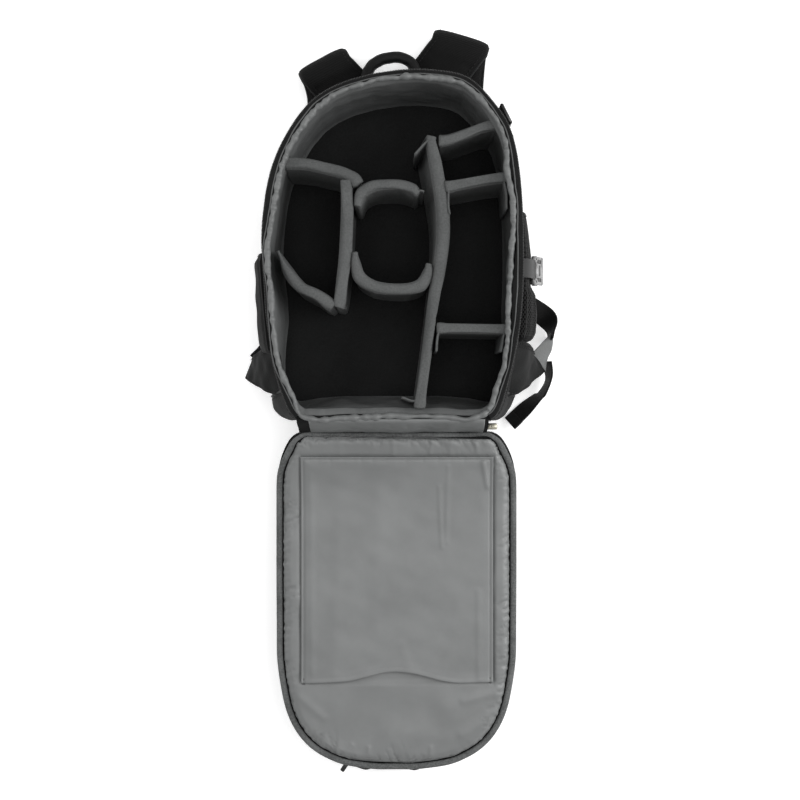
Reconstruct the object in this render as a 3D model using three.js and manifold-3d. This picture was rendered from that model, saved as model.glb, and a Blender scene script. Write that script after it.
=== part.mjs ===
// A padded equipment backpack that lies on its back with its lid unzipped and folded down flat.
// Millimetres, +Z up. +Y points to the top of the bag, and the lid lies towards -Y.
// The origin is the middle of the upper back pad's rest face, at the level the bag lies on.

import * as THREE from 'three';
import Module from 'manifold-3d';

const wasm = await Module();
wasm.setup();

// Fit between pieces that touch, and between the curved layers of the lid
const CLEARANCE = 0.3;
const LAYER_CLEARANCE = 0.5;

// Body
const BODY_WIDTH = 280;
const BODY_LENGTH = 375;
const BODY_DEPTH = 127.5;
const BACK_EDGE_ROUND = 17; // how far the walls pull in where they meet the back panel
const SHELL_WALL = 3;
const RIM_HEM = 7;
const HEM_THICKNESS = 2;
const LINING_WALL = 8.5;
const LINING_FLOOR = 8;
const LINING_CORNER = 8;
const LIP_WIDTH = 7.2;
const LIP_RISE = 3.5;
const LIP_STEP = 1; // how far the lip's edges lie from the level of the rim
const LIP_DEPTH = 9; // how far the lip's roll reaches down inside
const CORNER_SPREAD = 0.18; // share by which the lower corners bulge at the back panel
const LOWER_LEAN = 16; // how far the bottom wall leans in at the back panel
const EDGE_DIP = 20; // how far the lower rim sinks where the lid pulls it down

// Zip tapes, slider and pulls
const TAPE_THICKNESS = 1.5;
const TAPE_WIDTH = 6.7;
const LID_TAPE_WIDTH = 7.6;
const SLIDER_LENGTH = 12;
const SLIDER_WIDTH = 7;
const SLIDER_HEIGHT = 6;
const PULL_LENGTH = 13;
const PULL_WIDTH = 5;
const PULL_THICKNESS = 1.6;

// Lid
const LID_WIDTH = 271;
const LID_LENGTH = 382;
const LID_OFFSET = 4; // how far the lid lies to the right of the body
const LID_GAP = 13; // from the body's lower rim to the lid's near edge
const LID_UNDERSIDE = 50;
const LID_PANEL_DEPTH = 13;
const LID_LINING_DEPTH = 7.7;
const LID_RISE = 22; // how far the hinge lifts the lid's near edge
const LID_RISE_LENGTH = 95;
const SLEEVE_WIDTH = 212;
const SLEEVE_LENGTH = 254;
const SLEEVE_THICKNESS = 1.5;
const SLEEVE_START = 29.5; // from the lid's near edge to the sleeve's stitched edge
const SLEEVE_OFFSET = 1.2; // how far the sleeve lies to the right of the lid's middle
const POCKET_START = 31.5; // from the lid's near edge to the front pocket
const POCKET_REACH = 13; // how far the front pocket bulges past the lid's far edge
const POCKET_SHIFT = -7; // how far the front pocket lies to the side of the lid's middle
const POCKET_CLOTH = 2.5;
const POCKET_EDGE_ROUND = 10;
const HINGE_WIDTH = 206;
const HINGE_THICKNESS = 2;

// Dividers
const DIVIDER_WIDTH = 14;
const DIVIDER_TOP = 116;
const DIVIDER_ROUNDING = 4;
const FLAP_THICKNESS = 3;

// Back pads, harness and webbing
const PAD_THICKNESS = 20.2;
const UPPER_PAD_WIDTH = 80;
const UPPER_PAD_LENGTH = 190;
const LUMBAR_PAD_WIDTH = 190;
const LUMBAR_PAD_LENGTH = 75;
const STRAP_THICKNESS = 9.5;
const STRAP_WIDTH = 58;
const STRAP_LOOP_RADIUS = 12.4;
const ADJUSTER_WIDTH = 34;
const ADJUSTER_LENGTH = 14;
const ADJUSTER_HEIGHT = 6;
const WEBBING_WIDTH = 25;
const TAIL_WIDTH = 20;
const WEBBING_THICKNESS = 1.8;
const WEBBING_LIFT = 19; // how high the webbing climbs to the wings
const WING_THICKNESS = 4;
const HANDLE_DEPTH = 14;
const HANDLE_THICKNESS = 8.5;
const HANDLE_LEVEL = 35;

// Side pockets, side strap and its buckle, upper strap
const POCKET_WALL = 2;
const POCKET_ROOT = 12; // how far the side pockets' forms reach in before the body cuts them
const RIGHT_POCKET_BULGE = 24;
const LEFT_POCKET_BULGE = 21;
const SIDE_STRAP_WIDTH = 21;
const SIDE_STRAP_CENTRE = -22;
const SIDE_STRAP_SLACK = 2; // from the pocket's cloth to the buckle
const BUCKLE_WIDTH = 33;
const BUCKLE_THICKNESS = 9;
const SOCKET_LENGTH = 24;
const PLUG_LENGTH = 22;
const RING_WIDTH = 25;
const RING_HEIGHT = 22;
const RING_THICKNESS = 5;
const UPPER_STRAP_WIDTH = 20;
const UPPER_STRAP_REACH = 5;
const UPPER_STRAP_ROOT = 8;

// Levels and places worked out from the sizes above
const HALF_WIDTH = BODY_WIDTH / 2;
const HALF_LENGTH = BODY_LENGTH / 2;
const BASE = PAD_THICKNESS + CLEARANCE;
const LINING_OUTSIDE = SHELL_WALL + CLEARANCE;
const LINING_INSIDE = LINING_OUTSIDE + LINING_WALL;
const FLOOR_LEVEL = LINING_OUTSIDE + LINING_FLOOR;
const LID_NEAR = -HALF_LENGTH - LID_GAP;
const LID_TOP = LID_UNDERSIDE + LID_PANEL_DEPTH;
const LINING_TOP = LID_TOP + LAYER_CLEARANCE + LID_LINING_DEPTH;

// The body's outline at the zip edge, clockwise from the lower left corner
const BODY_OUTLINE = table(['across', 'along'], [
  [-0.73, -1], [-0.815, -0.92], [-0.875, -0.74], [-0.915, -0.6], [-0.965, -0.26], [-1, 0],
  [-0.985, 0.2], [-0.93, 0.43], [-0.81, 0.635], [-0.62, 0.825], [-0.36, 0.935], [0.057, 1],
  [0.4, 0.993], [0.6, 0.948], [0.8, 0.79], [0.895, 0.675], [0.955, 0.505], [0.99, 0.255],
  [1, 0], [0.995, -0.26], [0.96, -0.54], [0.892, -0.767], [0.83, -0.93], [0.75, -1],
  [0.38, -1], [0, -1], [-0.37, -1],
]);

// The body's outside from the back panel up to the zip edge, with its inset as a share of the
// edge's round. Side and floor are the parts of the inward direction in which a wall grows.
const BODY_PROFILE = table(['inset', 'level', 'side', 'floor'], [
  [1, 0, 0, 1],
  [0.41, 0.01, 0.5, 0.9],
  [0.147, 0.04, 0.85, 0.5],
  [0, 0.14, 1, 0],
  [-0.09, 0.45, 1, 0],
  [0, 0.85, 1, 0],
]);
const FIRST_UPRIGHT = 3;

// The lining's inner corner at the floor, and its padded lip at the rim
const INNER_CORNER = table(['inset', 'level'], [[1, 0], [0.27, 0.125], [0.05, 0.62]]);
const LIP_PROFILE = table(['inset', 'rise'], [[0.15, 0.8], [0.5, 1], [0.85, 0.65]]);

// Where the lying bag sags, as shares of its half length and half width
const SAG = { start: 0.3, length: 0.6, corner: 0.5, cornerLength: 0.35 };

// Sections of the lid from the hinge to the far edge
const LID_STATIONS = table(['along', 'half'], [
  [0, 0.82], [0.03, 0.9], [0.065, 0.948], [0.1, 0.978], [0.14, 0.996], [0.21, 1], [0.44, 1],
  [0.67, 0.996], [0.737, 0.972], [0.8075, 0.934], [0.85, 0.892], [0.88, 0.849], [0.914, 0.78],
  [0.949, 0.672], [0.985, 0.461], [1, 0.16],
]);

// Edges of the lid's panel and of its lining, as shares of their own depth
const LID_EDGE = table(['inset', 'level'], [[0.54, 0], [0.155, 0.155], [0, 0.385], [0, 1]]);
const LINING_EDGE = table(['inset', 'level'], [[0, 0], [-0.065, 0.455], [0.26, 0.82], [0.91, 1]]);

// Sections of the front pocket under the lid, each with its share of the far bulge
const POCKET_STATIONS = table(['along', 'half', 'bulge'], [
  [0, 0.9, 0], [0.12, 0.955, 0], [0.5, 0.965, 0], [0.68, 0.93, 0], [0.8, 0.85, 0.1],
  [0.88, 0.76, 0.3], [0.94, 0.62, 0.6], [0.98, 0.42, 0.9], [1, 0.2, 1],
]);

// The front pocket's side, from the level it lies on up to the lid
const POCKET_PROFILE = table(['inset', 'level'], [
  [1, 0], [0.3, 0.1], [0, 0.45], [0.2, 0.85], [0.7, 1],
]);

// The pull on the front pocket's zip, as shares of the lid's width and of the pocket's height
const PULL_PLACE = { across: -0.22, level: 0.62 };

// The rows of the sleeve, and its mouth on the lid's lining from left to right
const SLEEVE_ROWS = [0, 0.06, 0.13, 0.2, 0.26, 0.6, 1];
const SLEEVE_MOUTH = table(['across', 'along'], [
  [-0.5, 0.998], [-0.383, 0.995], [-0.25, 0.988], [-0.165, 0.97], [-0.08, 0.951],
  [-0.008, 0.945], [0.08, 0.952], [0.167, 0.971], [0.24, 0.988], [0.32, 0.997], [0.5, 0.992],
]);

// The hinge fabric from the body's rim down to the lid's near edge
const HINGE_DROP = table(['out', 'down'], [
  [0, 0], [0.22, 0.1], [0.55, 0.33], [0.85, 0.62], [1, 1],
]);

// The zip slider beside the hinge, as shares of the same way
const SLIDER_PLACE = { out: 0.5, down: 0.28 };

// The lumbar pad's middle as a share of the body's half length, and the edge of both pads as
// shares of their thickness
const LUMBAR_PAD_PLACE = -0.733;
const PAD_EDGE = table(['inset', 'level'], [[0.15, 0], [0, 0.2], [0, 0.8], [0.15, 1]]);

// Divider paths, as shares of the body's half width and half length. Thick is the share of
// the divider's width, and lean is how far the foot stands aside.
const DIVIDER_COLUMNS = ['across', 'along', 'thick', 'lean'];
const DIVIDERS = {
  divider_main: {
    path: [
      [0.314, 0.64, 0.9, -0.057], [0.295, 0.597, 1, -0.057], [0.326, 0.469, 1, -0.055],
      [0.356, 0.325, 1, -0.05], [0.376, 0.181, 1, -0.04], [0.376, 0.037, 1, -0.03],
      [0.345, -0.144, 1, -0.015], [0.306, -0.336, 1, 0], [0.269, -0.576, 1, 0],
      [0.23, -0.795, 1, 0], [0.214, -0.891, 1, 0], [0.205, -0.97, 0.9, 0],
    ],
    flaps: [
      [[0.3, 0.625], [0.25, 0.597], [0.171, 0.533]],
      [[0.214, -0.87], [0.149, -0.885], [0.064, -0.87]],
    ],
    cutBy: [],
  },
  divider_right_upper: {
    path: [[0.3, 0.61], [0.441, 0.624], [0.571, 0.656], [0.671, 0.683], [0.749, 0.697], [0.86, 0.715]],
    cutBy: ['divider_main'],
  },
  divider_right_middle: {
    path: [[0.357, 0.338], [0.45, 0.349], [0.556, 0.363], [0.71, 0.384], [0.848, 0.398], [0.97, 0.41]],
    flaps: [
      [[0.43, 0.34], [0.4235, 0.309], [0.438, 0.192]],
      [[0.85, 0.395], [0.869, 0.34], [0.886, 0.224]],
    ],
    cutBy: ['divider_main'],
  },
  divider_right_lower: {
    path: [[0.286, -0.467], [0.346, -0.467], [0.593, -0.469], [0.857, -0.473], [0.97, -0.475]],
    flaps: [
      [[0.35, -0.46], [0.345, -0.49], [0.329, -0.603]],
      [[0.86, -0.46], [0.855, -0.5], [0.836, -0.603]],
    ],
    cutBy: ['divider_main'],
  },
  divider_left_top: {
    path: [
      [-0.98, 0.485], [-0.819, 0.48], [-0.671, 0.473], [-0.542, 0.453], [-0.404, 0.427],
      [-0.311, 0.393], [-0.257, 0.347],
    ],
    cutBy: [],
  },
  divider_left_side: {
    path: [
      [-0.357, 0.41, 1.07], [-0.357, 0.208, 1.07], [-0.364, 0.064, 1.07], [-0.376, -0.077, 1.07],
      [-0.392, -0.192, 1.07], [-0.411, -0.307, 1.07], [-0.426, -0.352, 1],
    ],
    cutBy: ['divider_left_top'],
  },
  divider_left_diagonal: {
    path: [
      [-0.886, -0.027, 0.3], [-0.814, -0.128, 0.75], [-0.711, -0.235, 1], [-0.588, -0.272, 1],
      [-0.486, -0.325, 1], [-0.414, -0.352, 0.9],
    ],
    cutBy: ['divider_left_side'],
  },
  divider_lens_upper: {
    path: [
      [-0.271, 0.234, 0.6], [-0.235, 0.307, 0.85], [-0.157, 0.347, 0.9], [-0.057, 0.354, 0.9],
      [0.057, 0.354, 0.9], [0.149, 0.335, 0.85], [0.186, 0.305, 0.6],
    ],
    flaps: [[[0.186, 0.31], [0.21, 0.322], [0.242, 0.32]]],
    cutBy: ['divider_left_top', 'divider_left_side', 'divider_main'],
  },
  divider_lens_lower: {
    path: [
      [-0.292, -0.03, 0.5], [-0.276, -0.107, 0.8], [-0.242, -0.175, 0.9], [-0.157, -0.216, 0.9],
      [-0.02, -0.236, 0.9], [0.134, -0.238, 0.9], [0.219, -0.213, 0.9], [0.264, -0.152, 0.8],
      [0.278, -0.095, 0.5],
    ],
    cutBy: ['divider_left_side', 'divider_main'],
  },
};

// Side pockets from the mouth down to the closed end
const RIGHT_POCKET = table(['along', 'bulge'], [
  [0.213, 0.36], [0.107, 0.46], [-0.032, 0.58], [-0.117, 0.56], [-0.21, 0.58], [-0.26, 0.84],
  [-0.373, 0.97], [-0.48, 1], [-0.523, 0.86], [-0.54, 0.5],
]);
const LEFT_POCKET = table(['along', 'bulge'], [
  [-0.027, 0.46], [-0.075, 0.76], [-0.2, 0.87], [-0.4, 0.95], [-0.55, 1], [-0.598, 0.86],
  [-0.613, 0.5],
]);
const POCKET_SPAN = { low: 0.045, high: 0.76 };
const BULGE_AT_STRAP = 0.56;

// The yoke between the straps, on the back panel
const YOKE_OUTLINE = table(['across', 'along'], [
  [-0.43, 0.69], [0.43, 0.69], [0.47, 0.8], [0.411, 0.908], [0.054, 1.1], [-0.04, 1.1],
  [-0.14, 1.08], [-0.511, 0.894], [-0.49, 0.8],
]);

// Shoulder straps: the seam at the yoke, the crease of the fold and the layer below the bag.
// Turn is the angle of a cross-line to +X, in degrees.
const STRAP_COLUMNS = ['across', 'along', 'turn'];
const SHOULDER_STRAPS = {
  left: {
    seam: { left: [-0.5145, 0.8975], right: [-0.1435, 1.0835] },
    crease: { left: [-0.793, 1.163], right: [-0.421, 1.312] },
    lower: [[-0.505, 1.01, 12], [-0.515, 0.8, 0], [-0.575, 0.53, -4], [-0.66, 0.27, -10],
      [-0.73, 0.06, -9], [-0.76, -0.02, 0]],
  },
  right: {
    seam: { left: [0.0575, 1.1035], right: [0.4145, 0.9115] },
    crease: { left: [0.364, 1.429], right: [0.8, 1.325] },
    lower: [[0.535, 1.05, -4], [0.53, 0.8, 0], [0.58, 0.53, 4], [0.66, 0.27, 10],
      [0.73, 0.06, 9], [0.76, -0.02, 0]],
  },
};

// Webbing that lies beside the bag. Height is a share of the webbing's lift, and tilt lifts the
// outer edge of a cross-line, in degrees.
const WEBBING_COLUMNS = ['across', 'along', 'height', 'turn', 'tilt'];
const WEBBING_RIGHT = table(WEBBING_COLUMNS, [
  [0.77, -0.1, 0.074, 0, 0], [0.83, -0.15, 0.074, 35, 0], [0.98, -0.22, 0.074, 48, 0],
  [1.218, -0.329, 0.13, 48, 0], [1.295, -0.38, 0.34, 42, 25], [1.322, -0.425, 0.58, 45, 52],
  [1.311, -0.468, 0.74, 49, 72], [1.268, -0.554, 0.89, -25, 55], [1.215, -0.635, 1, -50, 10],
]);
const WEBBING_LEFT = table(WEBBING_COLUMNS, [
  [-0.77, -0.1, 0.074, 0, 0], [-0.8, -0.19, 0.074, -24, 0], [-0.9, -0.38, 0.074, -20, 0],
  [-1.02, -0.55, 0.37, -28, 0], [-1.12, -0.645, 1, -40, 0],
]);
const TAIL_RIGHT = table(WEBBING_COLUMNS, [
  [1.277, -0.64, 0.84, 0, 62], [1.298, -0.74, 0.74, 30, 70], [1.245, -0.835, 0.63, -10, 68],
  [1.204, -0.862, 0.58, -40, 62], [1.094, -0.941, 0.39, -48, 35], [0.975, -1.027, 0.37, -50, 35],
]);

// Wings that tie the harness to the lower sides: the upper and lower end of each cross-line
const WING_COLUMNS = ['topX', 'topY', 'topZ', 'lowX', 'lowY', 'lowZ'];
const WING_RIGHT = table(WING_COLUMNS, [
  [0.94, -0.52, 0.8, 0.83, -0.87, 0.73], [1.07, -0.545, 0.6, 1, -0.85, 0.54],
  [1.12, -0.57, 0.3, 1.14, -0.79, 0.25], [1.146, -0.595, 0.03, 1.255, -0.706, 0.02],
]);
const WING_LEFT = table(WING_COLUMNS, [
  [-0.92, -0.55, 0.74, -0.8, -0.87, 0.73], [-1.01, -0.57, 0.56, -0.97, -0.84, 0.54],
  [-1.1, -0.6, 0.3, -1.12, -0.79, 0.28], [-1.15, -0.625, 0.07, -1.215, -0.75, 0.06],
]);

// Grab handle, from its left end to its right end
const HANDLE_PATH = table(['across', 'along'], [
  [-0.27, 0.9], [-0.25, 1.06], [-0.205, 1.165], [-0.107, 1.218], [0.01, 1.235], [0.1, 1.224],
  [0.17, 1.19], [0.215, 1.09], [0.235, 0.95],
]);

// The strap over the right pocket, from the side seam outwards and down. Out is the share of
// the buckle's distance from the body's side, and height is the share of the body's depth.
const SIDE_STRAP_UPPER = table(['out', 'height'], [
  [-0.3, 0.83], [0.15, 0.835], [0.5, 0.82], [0.8, 0.78], [0.975, 0.71], [1, 0.65],
]);
const SIDE_STRAP_LOWER = table(['out', 'height'], [
  [1, 0], [0.95, -0.12], [0.725, -0.23], [0.2, -0.268], [-0.2, -0.272],
]);

// The upper strap stands out from the side seam and holds a ring plate. Turn is in degrees.
const UPPER_STRAP = { across: 0.832, along: 0.765, level: 0.74, turn: -63.4 };

function table(columns, rows) {
  return rows.map((row) => Object.fromEntries(row.map((value, i) => [columns[i], value])));
}

const vector = (x, y, z) => new THREE.Vector3(x, y, z);

function smooth(value) {
  const share = Math.min(1, Math.max(0, value));
  return share * share * (3 - 2 * share);
}

// Solids

// Makes an indexed geometry whose faces point outwards.
function closedGeometry(points, faces) {
  let volume = 0;
  const cross = new THREE.Vector3();
  for (const [a, b, c] of faces) {
    volume += points[a].dot(cross.crossVectors(points[b], points[c]));
  }
  const outward = volume > 0 ? faces : faces.map(([a, b, c]) => [a, c, b]);
  const geometry = new THREE.BufferGeometry();
  const positions = points.flatMap((point) => point.toArray());
  geometry.setAttribute('position', new THREE.Float32BufferAttribute(positions, 3));
  geometry.setIndex(outward.flat());
  return geometry;
}

// Joins rings of equal count into one closed body, with a fan of faces over each end. The
// diagonals run the same way up on every wall, so that nested walls keep their gap.
function loft(rings) {
  const count = rings[0].length;
  const points = rings.flat();
  const faces = [];
  const levels = rings.map((ring) => average(ring).z);
  for (let ring = 0; ring < rings.length - 1; ring += 1) {
    const rising = levels[ring + 1] >= levels[ring];
    for (let i = 0; i < count; i += 1) {
      const a = ring * count + i;
      const b = ring * count + (i + 1) % count;
      const [c, d] = [b + count, a + count];
      faces.push(...(rising ? [[a, b, c], [a, c, d]] : [[a, b, d], [b, c, d]]));
    }
  }
  const last = (rings.length - 1) * count;
  for (const [start, turned] of [[0, true], [last, false]]) {
    const middle = points.length;
    points.push(average(points.slice(start, start + count)));
    for (let i = 0; i < count; i += 1) {
      const a = start + i;
      const b = start + (i + 1) % count;
      faces.push(turned ? [middle, b, a] : [middle, a, b]);
    }
  }
  return closedGeometry(points, faces);
}

function average(points) {
  const sum = new THREE.Vector3();
  points.forEach((point) => sum.add(point));
  return sum.divideScalar(points.length);
}

// Joins two grids of equal size, such as the upper and lower face of a thin sheet.
function slab(upper, lower) {
  const rows = upper.length;
  const columns = upper[0].length;
  const points = [...upper.flat(), ...lower.flat()];
  const below = rows * columns;
  const at = (row, column) => row * columns + column;
  const faces = [];
  for (let row = 0; row < rows - 1; row += 1) {
    for (let column = 0; column < columns - 1; column += 1) {
      const [a, b] = [at(row, column), at(row, column + 1)];
      const [c, d] = [at(row + 1, column + 1), at(row + 1, column)];
      faces.push([a, b, c], [a, c, d]);
      faces.push([below + a, below + c, below + b], [below + a, below + d, below + c]);
    }
  }
  const border = [];
  for (let column = 0; column < columns - 1; column += 1) border.push(at(0, column));
  for (let row = 0; row < rows - 1; row += 1) border.push(at(row, columns - 1));
  for (let column = columns - 1; column > 0; column -= 1) border.push(at(rows - 1, column));
  for (let row = rows - 1; row > 0; row -= 1) border.push(at(row, 0));
  border.forEach((a, i) => {
    const b = border[(i + 1) % border.length];
    faces.push([b, a, below + a], [b, below + a, below + b]);
  });
  return closedGeometry(points, faces);
}

function toSolid(geometry) {
  const vertProperties = new Float32Array(geometry.getAttribute('position').array);
  const triVerts = new Uint32Array(geometry.getIndex().array);
  return new wasm.Manifold(new wasm.Mesh({ numProp: 3, vertProperties, triVerts }));
}

function toGeometry(solid) {
  const mesh = solid.getMesh();
  const geometry = new THREE.BufferGeometry();
  geometry.setAttribute('position', new THREE.Float32BufferAttribute(mesh.vertProperties, 3));
  geometry.setIndex(new THREE.Uint32BufferAttribute(mesh.triVerts, 1));
  return geometry;
}

// Keeps the largest body where a cut leaves several.
function largest(solid) {
  const pieces = solid.decompose();
  return pieces.reduce((best, piece) => (piece.volume() > best.volume() ? piece : best));
}

function cut(geometry, ...cutters) {
  let solid = toSolid(geometry);
  for (const cutter of cutters) solid = solid.subtract(cutter);
  return toGeometry(largest(solid));
}

// A strip of cloth, webbing or padding through cross-lines, each given by its two ends.
const FLAT_SECTION = table(['across', 'through'], [
  [-0.5, -0.5], [0.5, -0.5], [0.5, 0.5], [-0.5, 0.5],
]);
const PADDED_SECTION = table(['across', 'through'], [
  [-0.5, -0.22], [-0.45, -0.5], [0.45, -0.5], [0.5, -0.22],
  [0.5, 0.22], [0.45, 0.5], [-0.45, 0.5], [-0.5, 0.22],
]);

function band(lines, thickness, section = FLAT_SECTION) {
  const middles = lines.map(([left, right]) => average([left, right]));
  const rings = lines.map(([left, right], i) => {
    const before = middles[Math.max(0, i - 1)];
    const after = middles[Math.min(middles.length - 1, i + 1)];
    const along = after.clone().sub(before).normalize();
    const across = right.clone().sub(left);
    const through = along.cross(across).normalize().multiplyScalar(thickness);
    return section.map((point) => middles[i].clone()
      .addScaledVector(across, point.across)
      .addScaledVector(through, point.through));
  });
  return loft(rings);
}

// The cross-line of a strip with a given middle, width, turn and tilt
function crossLine(middle, width, turn, tilt = 0) {
  const [a, b] = [THREE.MathUtils.degToRad(turn), THREE.MathUtils.degToRad(tilt)];
  const half = vector(Math.cos(a) * Math.cos(b), Math.sin(a) * Math.cos(b), Math.sin(b))
    .multiplyScalar(width / 2);
  return [middle.clone().sub(half), middle.clone().add(half)];
}

// A block with bevelled upright edges, turned about +Z
function block(centre, [width, length, height], bevel, turn = 0) {
  const [x, y] = [width / 2, length / 2];
  const outline = [
    [-x + bevel, -y], [x - bevel, -y], [x, -y + bevel], [x, y - bevel],
    [x - bevel, y], [-x + bevel, y], [-x, y - bevel], [-x, -y + bevel],
  ];
  const axis = vector(0, 0, 1);
  const angle = THREE.MathUtils.degToRad(turn);
  return loft([-height / 2, height / 2].map((z) => outline
    .map(([px, py]) => vector(px, py, z).applyAxisAngle(axis, angle).add(centre))));
}

// The body's form

// Two points for each row of the outline, on a smooth closed curve
const outline = new THREE.CatmullRomCurve3(
  BODY_OUTLINE.map((row) => vector(row.across, row.along, 0)), true, 'centripetal',
).getPoints(BODY_OUTLINE.length * 2).slice(0, -1);

// Lets the upright design form sag as the lying bag does. Height counts from the back panel.
function settle(x, y, height) {
  const low = smooth((-y / HALF_LENGTH - SAG.start) / SAG.length);
  const middle = 1 - smooth((Math.abs(x) / HALF_WIDTH - SAG.corner) / SAG.cornerLength);
  const under = 1 - height / BODY_DEPTH;
  return vector(
    x * (1 + CORNER_SPREAD * under * low),
    y + LOWER_LEAN * under * low * middle,
    BASE + height * (1 - (EDGE_DIP / BODY_DEPTH) * low),
  );
}

const bodyPoint = (point, inset, height) => settle(
  point.x * (HALF_WIDTH - inset), point.y * (HALF_LENGTH - inset), height,
);

function bodyRing(inset, height) {
  return outline.map((point) => bodyPoint(point, inset, height));
}

// The body's profile, moved inwards by side on its walls and by floor on its back panel
function bodyProfile(side, floor) {
  return BODY_PROFILE.map((row) => [
    row.inset * BACK_EDGE_ROUND + side * row.side, row.level * BODY_DEPTH + floor * row.floor,
  ]);
}

const ringsOf = (profile) => profile.map(([inset, height]) => bodyRing(inset, height));

// A filled body that cuts whatever is fastened to its outside
function bodyBlock() {
  return toSolid(loft(ringsOf([
    ...bodyProfile(-CLEARANCE, -CLEARANCE),
    [-CLEARANCE, BODY_DEPTH + LIP_RISE],
  ])));
}

// The lining's inside from the floor up to the lip
function innerProfile(gap) {
  const inside = LINING_INSIDE + gap;
  return [
    ...INNER_CORNER.map((row) => [
      inside + row.inset * LINING_CORNER, FLOOR_LEVEL + row.level * LINING_CORNER + gap,
    ]),
    ...BODY_PROFILE.slice(FIRST_UPRIGHT).map((row) => [
      inside + row.inset * BACK_EDGE_ROUND, row.level * BODY_DEPTH,
    ]),
    [inside, BODY_DEPTH - LIP_DEPTH],
    [RIM_HEM + CLEARANCE + LIP_WIDTH + gap, BODY_DEPTH - LIP_STEP],
  ];
}

// The room inside the lining, less the clearance
function cavityBlock() {
  const profile = innerProfile(CLEARANCE);
  const [lip] = profile[profile.length - 1];
  return toSolid(loft(ringsOf([...profile, [lip, 2 * BODY_DEPTH]])));
}

const bodyCutter = bodyBlock();
const cavity = cavityBlock();

function outerShell() {
  return loft(ringsOf([
    ...bodyProfile(0, 0),
    [0, BODY_DEPTH],
    [RIM_HEM, BODY_DEPTH],
    [RIM_HEM, BODY_DEPTH - HEM_THICKNESS],
    [SHELL_WALL, BODY_DEPTH - HEM_THICKNESS],
    ...bodyProfile(SHELL_WALL, SHELL_WALL).reverse(),
  ]));
}

function paddedLining() {
  const step = RIM_HEM + CLEARANCE;
  const under = BODY_DEPTH - HEM_THICKNESS - CLEARANCE;
  return loft(ringsOf([
    ...bodyProfile(LINING_OUTSIDE, LINING_OUTSIDE),
    [LINING_OUTSIDE, under],
    [step, under],
    [step, BODY_DEPTH + LIP_STEP],
    ...LIP_PROFILE.map((row) => [step + row.inset * LIP_WIDTH, BODY_DEPTH + row.rise * LIP_RISE]),
    ...innerProfile(0).reverse(),
  ]));
}

// A tape on top of a rim, open at the hinge
function rimTape(points, inner, outer, bottom, thickness, place) {
  const top = bottom + thickness;
  const corners = [[outer, bottom], [inner, bottom], [inner, top], [outer, top]];
  return loft(points.map((point) => corners.map(([inset, height]) => place(point, inset, height))));
}

// The outline from the right end of the hinge round the top to its left end
function openOutline() {
  const edge = HINGE_WIDTH / BODY_WIDTH + 2 * CLEARANCE / TAPE_WIDTH;
  const atHinge = (point) => point.y < -0.985 && Math.abs(point.x) < edge;
  const first = outline.findIndex((point, i) => !atHinge(point) && atHinge(outline.at(i - 1)));
  return [...outline.slice(first), ...outline.slice(0, first)].filter((point) => !atHinge(point));
}

function bodyZipTape() {
  return rimTape(
    openOutline(), TAPE_WIDTH, 0, BODY_DEPTH + CLEARANCE, TAPE_THICKNESS, bodyPoint,
  );
}

// Dividers

function dividerStrip(rows, width, grow) {
  const points = rows.map((row) => (
    new THREE.Vector2(row.across * HALF_WIDTH, row.along * HALF_LENGTH)
  ));
  const steps = points.map((point, i) => points[Math.min(points.length - 1, i + 1)].clone()
    .sub(points[Math.max(0, i - 1)]).normalize());
  points[0].addScaledVector(steps[0], -grow);
  points[points.length - 1].addScaledVector(steps[steps.length - 1], grow);
  const foot = BASE;
  const top = BASE + DIVIDER_TOP + grow;
  const shoulder = top - DIVIDER_ROUNDING;
  return toSolid(loft(rows.map((row, i) => {
    const half = (width * (row.thick ?? 1)) / 2 + grow;
    const lean = (row.lean ?? 0) * HALF_WIDTH;
    const section = [
      [-half, foot], [-half, shoulder], [-half * 0.6, top - DIVIDER_ROUNDING * 0.25],
      [half * 0.6, top - DIVIDER_ROUNDING * 0.25], [half, shoulder], [half, foot],
    ];
    return section.map(([aside, z]) => vector(
      points[i].x - steps[i].y * aside + (lean * (top - z)) / (top - foot),
      points[i].y + steps[i].x * aside,
      z,
    ));
  })));
}

function dividerSolid({ path, flaps = [] }, grow = 0) {
  let solid = dividerStrip(table(DIVIDER_COLUMNS, path), DIVIDER_WIDTH, grow);
  for (const flap of flaps) {
    solid = solid.add(dividerStrip(table(DIVIDER_COLUMNS, flap), FLAP_THICKNESS, grow));
  }
  return solid;
}

function divider(name) {
  const { cutBy } = DIVIDERS[name];
  let solid = dividerSolid(DIVIDERS[name]).intersect(cavity);
  for (const other of cutBy) solid = solid.subtract(dividerSolid(DIVIDERS[other], CLEARANCE));
  return toGeometry(largest(solid));
}

// Lid

const lidRise = (y) => LID_RISE * Math.max(0, 1 - (LID_NEAR - y) / LID_RISE_LENGTH) ** 2;

// A point of the lid, with share -1 to 1 across it, moved inwards by the inset
function lidPoint(row, share, inset, height) {
  const halfLength = LID_LENGTH / 2;
  const middle = LID_NEAR - halfLength;
  const y = middle + (1 - 2 * row.along) * (halfLength - inset);
  const x = LID_OFFSET + share * row.half * (LID_WIDTH / 2 - inset);
  return vector(x, y, height + lidRise(y));
}

// A lid layer: its edge profile goes up the left side and down the right side of each section
function lidLayer(profile) {
  return loft(LID_STATIONS.map((row) => [
    ...profile.map(([inset, height]) => lidPoint(row, -1, inset, height)),
    ...[...profile].reverse().map(([inset, height]) => lidPoint(row, 1, inset, height)),
  ]));
}

function lidPanel() {
  return lidLayer(LID_EDGE.map((row) => [
    row.inset * LID_PANEL_DEPTH, LID_UNDERSIDE + row.level * LID_PANEL_DEPTH,
  ]));
}

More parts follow.
